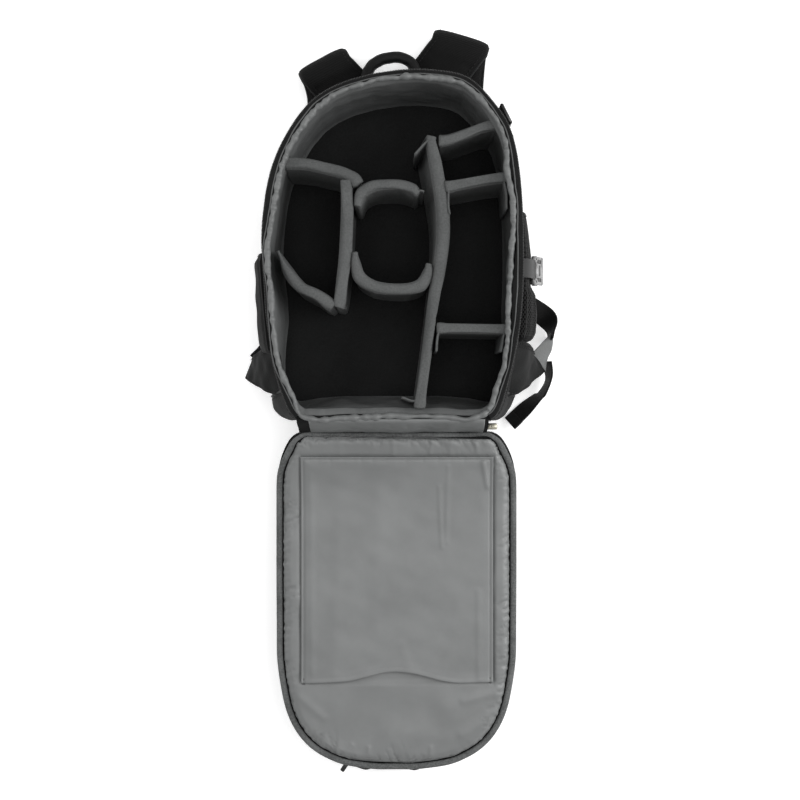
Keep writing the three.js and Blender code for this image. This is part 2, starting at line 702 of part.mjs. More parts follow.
function lidLining() {
  const inset = LID_TAPE_WIDTH + 3 * CLEARANCE;
  const bottom = LID_TOP + LAYER_CLEARANCE;
  return lidLayer(LINING_EDGE.map((row) => [
    inset + row.inset * LID_LINING_DEPTH, bottom + row.level * LID_LINING_DEPTH,
  ]));
}

function lidZipTape() {
  const left = LID_STATIONS.map((row) => ({ row, share: -1 }));
  const right = [...LID_STATIONS].reverse().map((row) => ({ row, share: 1 }));
  const place = ({ row, share }, inset, height) => lidPoint(row, share, inset, height);
  return rimTape(
    [...left, ...right], LID_TAPE_WIDTH, 0, LID_TOP + LAYER_CLEARANCE, TAPE_THICKNESS, place,
  );
}

function lidSleeve() {
  const place = (share, column, height) => {
    const x = LID_OFFSET + SLEEVE_OFFSET + column.across * SLEEVE_WIDTH;
    const y = LID_NEAR - SLEEVE_START - share * column.along * SLEEVE_LENGTH;
    return vector(x, y, height + lidRise(y));
  };
  const bottom = LINING_TOP + LAYER_CLEARANCE;
  const grid = (height) => SLEEVE_ROWS
    .map((share) => SLEEVE_MOUTH.map((column) => place(share, column, height)));
  return slab(grid(bottom + SLEEVE_THICKNESS), grid(bottom));
}

// Everything above the lid's underside, which the front pocket stays clear of
function lidCutter() {
  return toSolid(lidLayer([[-CLEARANCE, LID_UNDERSIDE - LAYER_CLEARANCE], [-CLEARANCE, LID_TOP]]));
}

// The front pocket's outside, or its hollow where a wall is given. The hollow runs out of the
// top, where the lid closes it.
function frontPocketForm(wall, extra) {
  const length = LID_LENGTH - POCKET_START;
  const centre = LID_NEAR - POCKET_START - length / 2;
  const top = POCKET_PROFILE[POCKET_PROFILE.length - 1];
  const profile = [...POCKET_PROFILE, { inset: top.inset, level: top.level + extra }];
  return loft(POCKET_STATIONS.map((row) => {
    const side = (share) => ({ inset, level }) => {
      const inward = inset * POCKET_EDGE_ROUND + wall;
      const belly = row.bulge * POCKET_REACH * Math.sin(Math.PI * Math.min(1, level + 0.15));
      const y = centre + (1 - 2 * row.along) * (length / 2 - inward) - belly;
      const x = LID_OFFSET + POCKET_SHIFT * row.bulge + share * row.half * (LID_WIDTH / 2 - inward);
      return vector(x, y, Math.max(wall, level * (LID_UNDERSIDE + lidRise(y))));
    };
    return [...profile.map(side(-1)), ...[...profile].reverse().map(side(1))];
  }));
}

function frontPocket() {
  return cut(frontPocketForm(0, 0.05), toSolid(frontPocketForm(POCKET_CLOTH, 0.5)), lidCutter());
}

function pocketZipPull() {
  const centre = vector(
    LID_OFFSET + PULL_PLACE.across * LID_WIDTH,
    LID_NEAR - LID_LENGTH - POCKET_REACH * 0.4,
    LID_UNDERSIDE * PULL_PLACE.level,
  );
  const size = [PULL_WIDTH, PULL_LENGTH, PULL_THICKNESS * 2];
  return cut(block(centre, size, 1), toSolid(frontPocketForm(-CLEARANCE, 0.05)));
}

// A point of the hinge's way from the body's rim out and down to the lid's near edge
function hingePoint(x, { out, down }) {
  const half = CLEARANCE + HINGE_THICKNESS / 2;
  const start = settle(0, -HALF_LENGTH, BODY_DEPTH - HEM_THICKNESS);
  const endZ = LID_UNDERSIDE + lidRise(LID_NEAR) + LID_PANEL_DEPTH * 0.35;
  return vector(
    x,
    THREE.MathUtils.lerp(start.y - half, LID_NEAR + half, out),
    THREE.MathUtils.lerp(start.z, endZ, down),
  );
}

function hingeGusset() {
  const lines = HINGE_DROP
    .map((row) => [hingePoint(-HINGE_WIDTH / 2, row), hingePoint(HINGE_WIDTH / 2, row)]);
  return cut(band(lines, HINGE_THICKNESS), bodyCutter);
}

function zipSlider() {
  const centre = hingePoint(HINGE_WIDTH / 2 + CLEARANCE + SLIDER_LENGTH / 2, SLIDER_PLACE);
  return block(centre, [SLIDER_LENGTH, SLIDER_WIDTH, SLIDER_HEIGHT], SLIDER_WIDTH * 0.2);
}

// Harness

function backPad(width, length, centreY) {
  const corner = Math.min(width, length) * 0.2;
  return loft(PAD_EDGE.map((row) => {
    const inset = row.inset * PAD_THICKNESS;
    const [x, y, c] = [width / 2 - inset, length / 2 - inset, corner];
    return [
      [-x + c, -y], [x - c, -y], [x - c * 0.3, -y + c * 0.3], [x, -y + c], [x, y - c],
      [x - c * 0.3, y - c * 0.3], [x - c, y], [-x + c, y], [-x + c * 0.3, y - c * 0.3], [-x, y - c],
      [-x, -y + c], [-x + c * 0.3, -y + c * 0.3],
    ].map(([px, py]) => vector(px, py + centreY, row.level * PAD_THICKNESS));
  }));
}

// The upper layers and the yoke lie on the straps' lower layers.
const YOKE_BOTTOM = STRAP_THICKNESS + 3 * CLEARANCE;

function yokeForm(grow = 0) {
  return loft([YOKE_BOTTOM - grow, PAD_THICKNESS + grow].map((z) => YOKE_OUTLINE.map((row) => vector(
    row.across * (HALF_WIDTH + 2 * grow), row.along * (HALF_LENGTH + 2 * grow), z,
  ))));
}

function strapForm({ seam, crease, lower }, grow = 0) {
  const line = (ends, z) => [ends.left, ends.right]
    .map(([across, along]) => vector(across * HALF_WIDTH, along * HALF_LENGTH, z));
  const upperLevel = (YOKE_BOTTOM + PAD_THICKNESS) / 2;
  const floorLevel = STRAP_THICKNESS / 2 + CLEARANCE / 2;
  const fold = line(crease, 0);
  const along = fold[1].clone().sub(fold[0]).normalize();
  const outward = vector(-along.y, along.x, 0);
  const loopLines = [90, 50, 15, -15, -50, -90].map((degrees) => {
    const angle = THREE.MathUtils.degToRad(degrees);
    const reach = STRAP_LOOP_RADIUS * (Math.cos(angle) - 1) - STRAP_THICKNESS / 2;
    const z = floorLevel + STRAP_LOOP_RADIUS * (1 + Math.sin(angle));
    return fold.map((end) => end.clone().addScaledVector(outward, reach).setZ(z));
  });
  const start = line(seam, upperLevel);
  const nearby = (share, rise) => start.map((end, i) => end.clone()
    .lerp(loopLines[0][i], share).setZ(upperLevel + rise * (loopLines[0][i].z - upperLevel)));
  return band([
    start,
    nearby(0.2, 0),
    nearby(0.6, 0.5),
    ...loopLines,
    ...table(STRAP_COLUMNS, lower).map((row) => crossLine(
      vector(row.across * HALF_WIDTH, row.along * HALF_LENGTH, floorLevel), STRAP_WIDTH, row.turn,
    )),
  ], STRAP_THICKNESS + 2 * grow, PADDED_SECTION);
}

function shoulderStrap(strap) {
  return cut(strapForm(strap), bodyCutter, toSolid(yokeForm(CLEARANCE)));
}

// The adjuster sits at the end of a strap's lower layer.
function strapEnd({ lower }) {
  const [across, along] = lower[lower.length - 1];
  return vector(across * HALF_WIDTH, along * HALF_LENGTH, 0);
}

function strapAdjuster(strap) {
  const centre = strapEnd(strap)
    .add(vector(0, -CLEARANCE - ADJUSTER_LENGTH / 2, CLEARANCE + ADJUSTER_HEIGHT / 2));
  return block(centre, [ADJUSTER_WIDTH, ADJUSTER_LENGTH, ADJUSTER_HEIGHT], 2);
}

// Webbing that ends against a wing
function webbing(rows, width, wingRows) {
  const wingCutter = toSolid(wingBand(wingRows, WING_THICKNESS + 2 * CLEARANCE));
  return cut(band(rows.map((row) => crossLine(
    vector(row.across * HALF_WIDTH, row.along * HALF_LENGTH, row.height * WEBBING_LIFT),
    width, row.turn, row.tilt,
  )), WEBBING_THICKNESS), bodyCutter, wingCutter);
}

function wingBand(rows, thickness) {
  return band(rows.map((row) => [
    vector(row.topX * HALF_WIDTH, row.topY * HALF_LENGTH, BASE + row.topZ * BODY_DEPTH),
    vector(row.lowX * HALF_WIDTH, row.lowY * HALF_LENGTH, BASE + row.lowZ * BODY_DEPTH),
  ]), thickness);
}

function topHandle() {
  const lines = HANDLE_PATH.map((row) => [-1, 1].map((side) => vector(
    row.across * HALF_WIDTH, row.along * HALF_LENGTH, HANDLE_LEVEL + (side * HANDLE_DEPTH) / 2,
  )));
  const straps = Object.values(SHOULDER_STRAPS).map((strap) => toSolid(strapForm(strap, CLEARANCE)));
  return cut(band(lines, HANDLE_THICKNESS, PADDED_SECTION), bodyCutter, ...straps);
}

// Sides

// Half the body's width at a place along it, on the side that the sign names
function bodySide(along, sign) {
  for (let i = 0; i < outline.length; i += 1) {
    const [a, b] = [outline[i], outline[(i + 1) % outline.length]];
    const spans = (a.y - along) * (b.y - along) <= 0 && a.y !== b.y;
    const share = (along - a.y) / (b.y - a.y);
    const x = a.x + (b.x - a.x) * share;
    if (spans && x * sign > 0.5) return x * sign * HALF_WIDTH;
  }
  return HALF_WIDTH;
}

function pocketForm(rows, sign, bulge, inset, extra) {
  const first = rows[0];
  const last = rows[rows.length - 1];
  const spread = [-1, -0.86, -0.5, 0, 0.5, 0.86, 1];
  return loft([{ ...first, along: first.along + extra }, ...rows].map((row) => {
    const closing = row === last ? inset / HALF_LENGTH : 0;
    const side = bodySide(Math.max(row.along, last.along), sign);
    const middle = BASE + (BODY_DEPTH * (POCKET_SPAN.low + POCKET_SPAN.high)) / 2;
    const half = (BODY_DEPTH * (POCKET_SPAN.high - POCKET_SPAN.low)) / 2 - inset;
    const arc = spread.map((share) => {
      const out = (row.bulge * bulge - inset) * Math.sqrt(1 - 0.9 * share * share);
      return vector(sign * (side + out), (row.along + closing) * HALF_LENGTH, middle + share * half);
    });
    const back = [spread[6], spread[0]].map((share) => vector(
      sign * (side - POCKET_ROOT), (row.along + closing) * HALF_LENGTH, middle + share * half,
    ));
    return [...arc, ...back];
  }));
}

function sidePocket(rows, sign, bulge) {
  const hollow = toSolid(pocketForm(rows, sign, bulge, POCKET_WALL, 0.1));
  return cut(pocketForm(rows, sign, bulge, 0, 0.001), hollow, bodyCutter);
}

function wing(rows, pocketRows, sign, bulge) {
  const pocketCutter = toSolid(pocketForm(pocketRows, sign, bulge, -CLEARANCE, 0.01));
  return cut(wingBand(rows, WING_THICKNESS), bodyCutter, pocketCutter);
}

const sideX = bodySide(SIDE_STRAP_CENTRE / HALF_LENGTH, 1);
const buckleOut = BULGE_AT_STRAP * RIGHT_POCKET_BULGE + SIDE_STRAP_SLACK + BUCKLE_THICKNESS / 2;

function sideStrap(rows, top) {
  const front = SIDE_STRAP_CENTRE + SIDE_STRAP_WIDTH / 2;
  const back = SIDE_STRAP_CENTRE - SIDE_STRAP_WIDTH / 2;
  return band(rows.map((row) => {
    const [x, z] = [sideX + row.out * buckleOut, top + row.height * BODY_DEPTH];
    return [vector(x, front, z), vector(x, back, z)];
  }), WEBBING_THICKNESS);
}

const BUCKLE_TOP = BASE + SIDE_STRAP_UPPER.at(-1).height * BODY_DEPTH - CLEARANCE;
const SOCKET_BOTTOM = BUCKLE_TOP - SOCKET_LENGTH;
const PLUG_TOP = SOCKET_BOTTOM - CLEARANCE;
const PLUG_BOTTOM = PLUG_TOP - PLUG_LENGTH;

function bucklePart(bottom, top) {
  const centre = vector(sideX + buckleOut, SIDE_STRAP_CENTRE, (bottom + top) / 2);
  return block(centre, [BUCKLE_THICKNESS, BUCKLE_WIDTH, top - bottom], BUCKLE_THICKNESS * 0.28);
}

// A point straight out from the upper strap's root, and below it by the drop
function upperStrapPoint(reach, drop) {
  const angle = THREE.MathUtils.degToRad(UPPER_STRAP.turn);
  return vector(
    UPPER_STRAP.across * HALF_WIDTH - Math.sin(angle) * reach,
    UPPER_STRAP.along * HALF_LENGTH + Math.cos(angle) * reach,
    BASE + UPPER_STRAP.level * BODY_DEPTH - drop,
  );
}

function upperStrap() {
  const reaches = [-UPPER_STRAP_ROOT, UPPER_STRAP_REACH * 0.6, UPPER_STRAP_REACH];
  return cut(band(reaches.map((reach, i) => crossLine(
    upperStrapPoint(reach, (i * WEBBING_THICKNESS) / 2), UPPER_STRAP_WIDTH, UPPER_STRAP.turn,
  )), WEBBING_THICKNESS), bodyCutter);
}

function upperRing() {
  const reach = UPPER_STRAP_REACH + CLEARANCE * 1.5 + RING_THICKNESS / 2;
  const centre = upperStrapPoint(reach, RING_HEIGHT * 0.3);
  const size = [RING_WIDTH, RING_THICKNESS, RING_HEIGHT];
  return cut(block(centre, size, RING_THICKNESS * 0.24, UPPER_STRAP.turn), bodyCutter);
}

// The backpack

const COLOURS = {
  shell: { color: 0x1d1e20, roughness: 0.85 },
  lining: { color: 0x7d8080, roughness: 0.8 },
  darkLining: { color: 0x55585a, roughness: 0.85 },
  tape: { color: 0x3a3c3e, roughness: 0.8 },
  webbing: { color: 0x141516, roughness: 0.75 },
  mesh: { color: 0x2d2e30, roughness: 0.9 },
  plastic: { color: 0x101112, roughness: 0.45 },
  metal: { color: 0x9d9b90, roughness: 0.35, metalness: 1 },
};

const backpack = new THREE.Group();

function add(name, geometry, finish) {
  geometry.computeVertexNormals();
  const mesh = new THREE.Mesh(geometry, new THREE.MeshStandardMaterial(COLOURS[finish]));
  mesh.name = name;
  backpack.add(mesh);
}

add('outer_shell', outerShell(), 'shell');
add('padded_lining', paddedLining(), 'darkLining');
add('body_zip_tape', bodyZipTape(), 'tape');
for (const name of Object.keys(DIVIDERS)) add(name, divider(name), 'darkLining');

add('lid_panel', lidPanel(), 'shell');
add('lid_lining', lidLining(), 'lining');
add('lid_zip_tape', lidZipTape(), 'tape');
add('lid_sleeve', lidSleeve(), 'lining');
add('front_pocket', frontPocket(), 'shell');
add('pocket_zip_pull', pocketZipPull(), 'plastic');
add('hinge_gusset', hingeGusset(), 'lining');
add('zip_slider', zipSlider(), 'metal');

add('back_pad_upper', backPad(UPPER_PAD_WIDTH, UPPER_PAD_LENGTH, 0), 'mesh');
const lumbarCentre = LUMBAR_PAD_PLACE * HALF_LENGTH;
add('back_pad_lower', backPad(LUMBAR_PAD_WIDTH, LUMBAR_PAD_LENGTH, lumbarCentre), 'mesh');
add('strap_yoke', yokeForm(), 'shell');
for (const [side, strap] of Object.entries(SHOULDER_STRAPS)) {
  add(`shoulder_strap_${side}`, shoulderStrap(strap), 'mesh');
  add(`strap_adjuster_${side}`, strapAdjuster(strap), 'plastic');
}
add('wing_left', wing(WING_LEFT, LEFT_POCKET, -1, LEFT_POCKET_BULGE), 'shell');
add('wing_right', wing(WING_RIGHT, RIGHT_POCKET, 1, RIGHT_POCKET_BULGE), 'shell');
add('strap_webbing_left', webbing(WEBBING_LEFT, WEBBING_WIDTH, WING_LEFT), 'webbing');
add('strap_webbing_right', webbing(WEBBING_RIGHT, WEBBING_WIDTH, WING_RIGHT), 'webbing');
add('strap_tail_right', webbing(TAIL_RIGHT, TAIL_WIDTH, WING_RIGHT), 'webbing');
add('top_handle', topHandle(), 'webbing');

add('side_pocket_right', sidePocket(RIGHT_POCKET, 1, RIGHT_POCKET_BULGE), 'mesh');
add('side_pocket_left', sidePocket(LEFT_POCKET, -1, LEFT_POCKET_BULGE), 'shell');
add('side_strap_upper', cut(sideStrap(SIDE_STRAP_UPPER, BASE), bodyCutter), 'webbing');
add('side_buckle_socket', bucklePart(SOCKET_BOTTOM, BUCKLE_TOP), 'plastic');
add('side_buckle_plug', bucklePart(PLUG_BOTTOM, PLUG_TOP), 'plastic');
add('side_strap_lower', cut(sideStrap(SIDE_STRAP_LOWER, PLUG_BOTTOM - CLEARANCE), bodyCutter), 'webbing');
add('upper_strap', upperStrap(), 'webbing');
add('upper_ring', upperRing(), 'plastic');

export default backpack;
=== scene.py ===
"""The looks of a padded camera backpack that lies open on its back.

Metres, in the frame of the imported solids: +Z up, +Y towards the top handle, the lid towards -Y.
Tables, and the sizes that Paint and waves() take, are in millimetres.
"""

import math

import bpy
import numpy as np
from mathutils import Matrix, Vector
from mathutils.bvhtree import BVHTree


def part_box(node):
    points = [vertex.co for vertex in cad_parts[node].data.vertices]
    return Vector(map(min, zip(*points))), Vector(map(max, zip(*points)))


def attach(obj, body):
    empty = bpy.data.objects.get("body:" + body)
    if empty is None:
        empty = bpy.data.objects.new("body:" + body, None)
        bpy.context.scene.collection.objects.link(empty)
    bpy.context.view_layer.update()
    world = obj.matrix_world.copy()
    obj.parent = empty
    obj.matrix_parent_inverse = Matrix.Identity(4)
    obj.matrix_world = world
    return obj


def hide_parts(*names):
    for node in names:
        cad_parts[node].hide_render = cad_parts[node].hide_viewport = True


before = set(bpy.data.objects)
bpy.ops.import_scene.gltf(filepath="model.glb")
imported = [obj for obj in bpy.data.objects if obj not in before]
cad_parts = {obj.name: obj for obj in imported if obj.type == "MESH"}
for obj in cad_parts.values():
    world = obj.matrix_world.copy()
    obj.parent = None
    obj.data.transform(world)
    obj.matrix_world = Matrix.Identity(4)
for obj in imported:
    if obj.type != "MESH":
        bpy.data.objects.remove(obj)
for startup_name in ("Cube", "Light", "Camera"):
    if startup_name in bpy.data.objects:
        bpy.data.objects.remove(bpy.data.objects[startup_name])
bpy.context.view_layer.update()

MM = 0.001
UP = np.array([0.0, 0.0, 1.0])
ALONG = np.array([0.0, 1.0, 0.0])
PHOTO_SIZE = 800
PHOTO_FOCAL = 1360
SENSOR_WIDTH = 36
CAMERA_PLACE = (0.008, -0.165, 1.6)
LIT_PLACE = Vector((0, -0.16, 0.06))
WORLD_LIGHT = 0.55
STUDIO_HALF = 20.0
STUDIO_DROP = 0.5 * MM
# Each lamp's place, size and power
LAMPS = {
    "lamp_over": ((0.22, -0.1, 2.3), (1.3, 1.6), 15),
    "lamp_right": ((1.5, -0.05, 0.9), (0.9, 1.5), 24),
    "lamp_left": ((-1.3, 0.45, 1.0), (0.9, 1.2), 9),
}


# Camera and light


def add_object(name, data):
    thing = bpy.data.objects.new(name, data)
    bpy.context.scene.collection.objects.link(thing)
    return thing


def make_camera():
    """Looks straight down from the photograph's height, with +Y up in the picture."""
    data = bpy.data.cameras.new("camera")
    data.sensor_width = SENSOR_WIDTH
    data.lens = SENSOR_WIDTH * PHOTO_FOCAL / PHOTO_SIZE
    data.clip_start, data.clip_end = 0.05, 20
    camera = add_object("camera", data)
    camera.location = CAMERA_PLACE
    bpy.context.scene.camera = camera


def make_studio():
    bpy.context.scene.view_settings.view_transform = "Standard"
    world = bpy.data.worlds.new("studio")
    bpy.context.scene.world = world
    world.use_nodes = True
    background = world.node_tree.nodes["Background"]
    background.inputs["Color"].default_value = (1, 1, 1, 1)
    background.inputs["Strength"].default_value = WORLD_LIGHT
    for name, (place, size, power) in LAMPS.items():
        data = bpy.data.lights.new(name, "AREA")
        data.shape = "RECTANGLE"
        data.size, data.size_y = size
        data.energy = power
        lamp = add_object(name, data)
        lamp.location = place
        lamp.rotation_euler = (LIT_PLACE - Vector(place)).to_track_quat("-Z", "Y").to_euler()
    corners = np.array([(-1, -1, 0), (1, -1, 0), (1, 1, 0), (-1, 1, 0)]) * STUDIO_HALF
    floor = mesh_object("studio_floor", corners, [(0, 1, 2, 3)], FLOOR_PAINT)
    floor.location.z = -STUDIO_DROP


# Fields and curves


def smoothstep(low, high, value):
    share = np.clip((np.asarray(value, float) - low) / (high - low), 0, 1)
    return share * share * (3 - 2 * share)


def hump(away, width):
    return np.exp(-((away / width) ** 2))


def ripple(points, size, seed, count=14):
    """A smooth random field from about -1 to 1, with bumps about that size apart."""
    draw = np.random.default_rng(seed)
    directions = unit(draw.normal(size=(count, 3)))
    lengths = size * draw.uniform(0.7, 1.6, count)
    phases = draw.uniform(0, 2 * math.pi, count)
    turns = np.asarray(points, float) @ (directions.T * (2 * math.pi / lengths))
    return np.sin(turns + phases).sum(-1) * 0.9 / math.sqrt(count)


def waves(points, *layers):
    """The sum of ripples, each with its rise, size and seed."""
    return sum(ripple(points, size * MM, seed) * rise for rise, size, seed in layers) * MM


def pinches(places, length, spacing, width, seed):
    """Sharp dents at uneven places along a line, each from 0 to 1 deep."""
    draw = np.random.default_rng(seed)
    centre, total = 0.0, np.zeros_like(places)
    while centre < length:
        depth, reach = draw.uniform(0.35, 1.0), width * draw.uniform(0.6, 1.5)
        away = np.abs(places - centre)
        total = np.maximum(total, depth * hump(np.minimum(away, length - away), reach))
        centre += spacing * draw.uniform(0.5, 1.6)
    return total


def arc_lengths(line):
    return np.concatenate([[0], np.cumsum(np.linalg.norm(np.diff(line, axis=0), axis=1))])


def closed(line):
    return np.vstack([line, line[:1]])


def sample(line, lengths, wanted):
    """The points of a line at the wanted lengths along it."""
    return np.stack([np.interp(wanted, lengths, column) for column in line.T], -1)


def even_steps(line, step):
    """Resamples a line at about the given step, ends included."""
    lengths = arc_lengths(line)
    count = max(2, round(lengths[-1] / step) + 1)
    return sample(line, lengths, np.linspace(0, lengths[-1], count))


def smooth_curve(points, step):
    """Points at an even step along a Catmull-Rom curve through the given ones."""
    fine, t = [], np.linspace(0, 1, 12, endpoint=False)[:, None]
    for i in range(len(points) - 1):
        a, b, c, d = (points[min(max(i + k, 0), len(points) - 1)] for k in (-1, 0, 1, 2))
        fine.append(0.5 * (2 * b + (c - a) * t + (2 * a - 5 * b + 4 * c - d) * t * t
                           + (3 * b - a - 3 * c + d) * t ** 3))
    return even_steps(np.vstack([*fine, points[-1:]]), step)


def unit(vectors):
    return vectors / np.maximum(np.linalg.norm(vectors, axis=-1, keepdims=True), 1e-12)


def turned(degrees):
    """The matrix of a turn about Z."""
    a = math.radians(degrees)
    return np.array([[math.cos(a), -math.sin(a), 0], [math.sin(a), math.cos(a), 0], [0, 0, 1]])


# Meshes

STITCH_LENGTH, STITCH_GAP, STITCH_LIFT = 3.4 * MM, 1.3 * MM, 0.15 * MM
# How far a stitch's points stand above the cloth, in radii of its thread
STITCH_RISE = np.array([-0.6, 0.9, 0.9, -0.6])


def mesh_object(name, points, faces, material):
    mesh = bpy.data.meshes.new(name)
    mesh.from_pydata(np.asarray(points, float).tolist(), [], faces)
    mesh.polygons.foreach_set("use_smooth", [True] * len(mesh.polygons))
    mesh.materials.append(material)
    return add_object(name, mesh)


def fit(thing, *nodes, slot=None):
    """Seats a finished piece on the frame and in the place of the named nodes. Its slot is not used."""
    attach(thing, "root")
    if nodes:
        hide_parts(*nodes)
    return thing


def grid_faces(rows, columns, wrap=False):
    faces = []
    for row in range(rows - 1):
        for column in range(columns if wrap else columns - 1):
            after = (column + 1) % columns
            faces.append((row * columns + column, row * columns + after,
                          (row + 1) * columns + after, (row + 1) * columns + column))
    return faces


def set_uv(thing, columns, across, along):
    """Sets a grid's UV map in metres: across by column and along by row."""
    layer = thing.data.uv_layers.new(name="metres")
    for face in thing.data.polygons:
        places = [i % columns for i in face.vertices]
        over_seam = max(places) - min(places) > 1
        for k, i, column in zip(face.loop_indices, face.vertices, places):
            u = across[columns if over_seam and column == 0 else column]
            layer.data[k].uv = (u, along[min(i // columns, len(along) - 1)])


def sheet_object(name, grid, material, *nodes, wrap=False, thickness=0.0, caps=(False, False)):
    """A fitted sheet through a grid of points, with UVs in metres, and closed ends where asked."""
    grid = np.asarray(grid, float)
    wrap = wrap or any(caps)
    rows, columns = grid.shape[:2]
    points = grid.reshape(-1, 3)
    faces = grid_faces(rows, columns, wrap)
    for row, wanted in ((0, caps[0]), (rows - 1, caps[1])):
        if wanted:
            ring = [row * columns + i % columns for i in range(columns + 1)]
            pairs = zip(ring[1:], ring) if row == 0 else zip(ring, ring[1:])
            faces += [(len(points), *pair) for pair in pairs]
            points = np.vstack([points, grid[row].mean(0)])
    thing = mesh_object(name, points, faces, material)
    middle_row = grid[rows // 2]
    across = arc_lengths(closed(middle_row) if wrap else middle_row)
    set_uv(thing, columns, across, arc_lengths(grid[:, columns // 2]))
    if thickness:
        solidify = thing.modifiers.new("thickness", "SOLIDIFY")
        solidify.thickness = thickness
        solidify.offset = -1
        solidify.use_even_offset = False
    return fit(thing, *nodes)


class Pile:
    """Collects many small shapes into one mesh."""

    def __init__(self):
        self.points = []
        self.faces = []
        self.count = 0

    def add(self, points, faces):
        self.points.append(points)
        self.faces.extend(tuple(i + self.count for i in face) for face in faces)
        self.count += len(points)

    def add_tube(self, line, radius, sides=8, up=UP, flat=1.0):
        """A closed tube along a line. Flat squeezes it along the up direction."""
        side = unit(np.cross(unit(np.gradient(line, axis=0)), up))
        over = np.cross(side, unit(np.gradient(line, axis=0)))
        angles = np.linspace(0, 2 * math.pi, sides, endpoint=False)
        ring = (side[:, None] * np.cos(angles)[None, :, None]
                + over[:, None] * np.sin(angles)[None, :, None] * flat)
        faces = grid_faces(len(line), sides, wrap=True)
        faces.append(tuple(range(sides))[::-1])
        faces.append(tuple(range((len(line) - 1) * sides, len(line) * sides)))
        self.add((line[:, None] + ring * radius).reshape(-1, 3), faces)

    def add_stitches(self, line, normal, radius=0.35 * MM):
        """Thread along a line: each stitch comes up, runs on the cloth and goes down again."""
        travelled = arc_lengths(line)
        normal = np.broadcast_to(normal, line.shape)
        start = STITCH_GAP
        while start + STITCH_LENGTH < travelled[-1]:
            wanted = start + STITCH_LENGTH * np.linspace(0, 1, len(STITCH_RISE))
            up = sample(normal, travelled, wanted)
            path = sample(line, travelled, wanted) + up * (STITCH_RISE[:, None] * radius + STITCH_LIFT)
            self.add_tube(path, radius, sides=4, up=unit(up.mean(0)), flat=0.8)
            start += STITCH_LENGTH + STITCH_GAP

    def add_block(self, low, high, chamfer):
        """A block with chamfered edges between two corners in millimetres."""
        low, high = np.array(low) * MM, np.array(high) * MM
        middle, half = (low + high) / 2, (high - low) / 2
        points, index = [], {}
        for signs in np.ndindex(2, 2, 2):
            for axis in range(3):
                inner = half - chamfer * MM
                inner[axis] = half[axis]
                index[signs, axis] = len(points)
                points.append(middle + (np.array(signs) * 2 - 1) * inner)

        def corner(axis, side, u, v, face):
            """The point of a corner on one of its faces, with the corner named from an axis."""
            signs = [0, 0, 0]
            signs[axis], signs[(axis + 1) % 3], signs[(axis + 2) % 3] = side, u, v
            return index[tuple(signs), (axis + face) % 3]

        faces = []
        for axis in range(3):
            for side in (0, 1):
                loop = tuple(corner(axis, side, u, v, 0) for u, v in ((0, 0), (1, 0), (1, 1), (0, 1)))
                faces.append(loop if side else loop[::-1])
            for u, v in np.ndindex(2, 2):
                face = tuple(corner(axis, side, u, v, k) for side, k in ((0, 1), (1, 1), (1, 2), (0, 2)))
                faces.append(face if u != v else face[::-1])
        for signs in np.ndindex(2, 2, 2):
            face = tuple(index[signs, axis] for axis in range(3))
            faces.append(face if sum(signs) % 2 else face[::-1])
        self.add(np.array(points), faces)

    def add_blocks(self, blocks):
        for low, high, chamfer in blocks:
            self.add_block(low, high, chamfer)

    def place(self, middle, spin):
        """Turns all that the pile holds and moves it to its middle, in millimetres."""
        self.points = [points @ spin.T + np.array(middle) * MM for points in self.points]

    def make(self, name, material, *nodes, slot=None):
        return fit(mesh_object(name, np.vstack(self.points), self.faces, material), *nodes, slot=slot)


# Materials

PLAIN = (1, 1, 1)
COOL = (0.97, 1.0, 0.995)


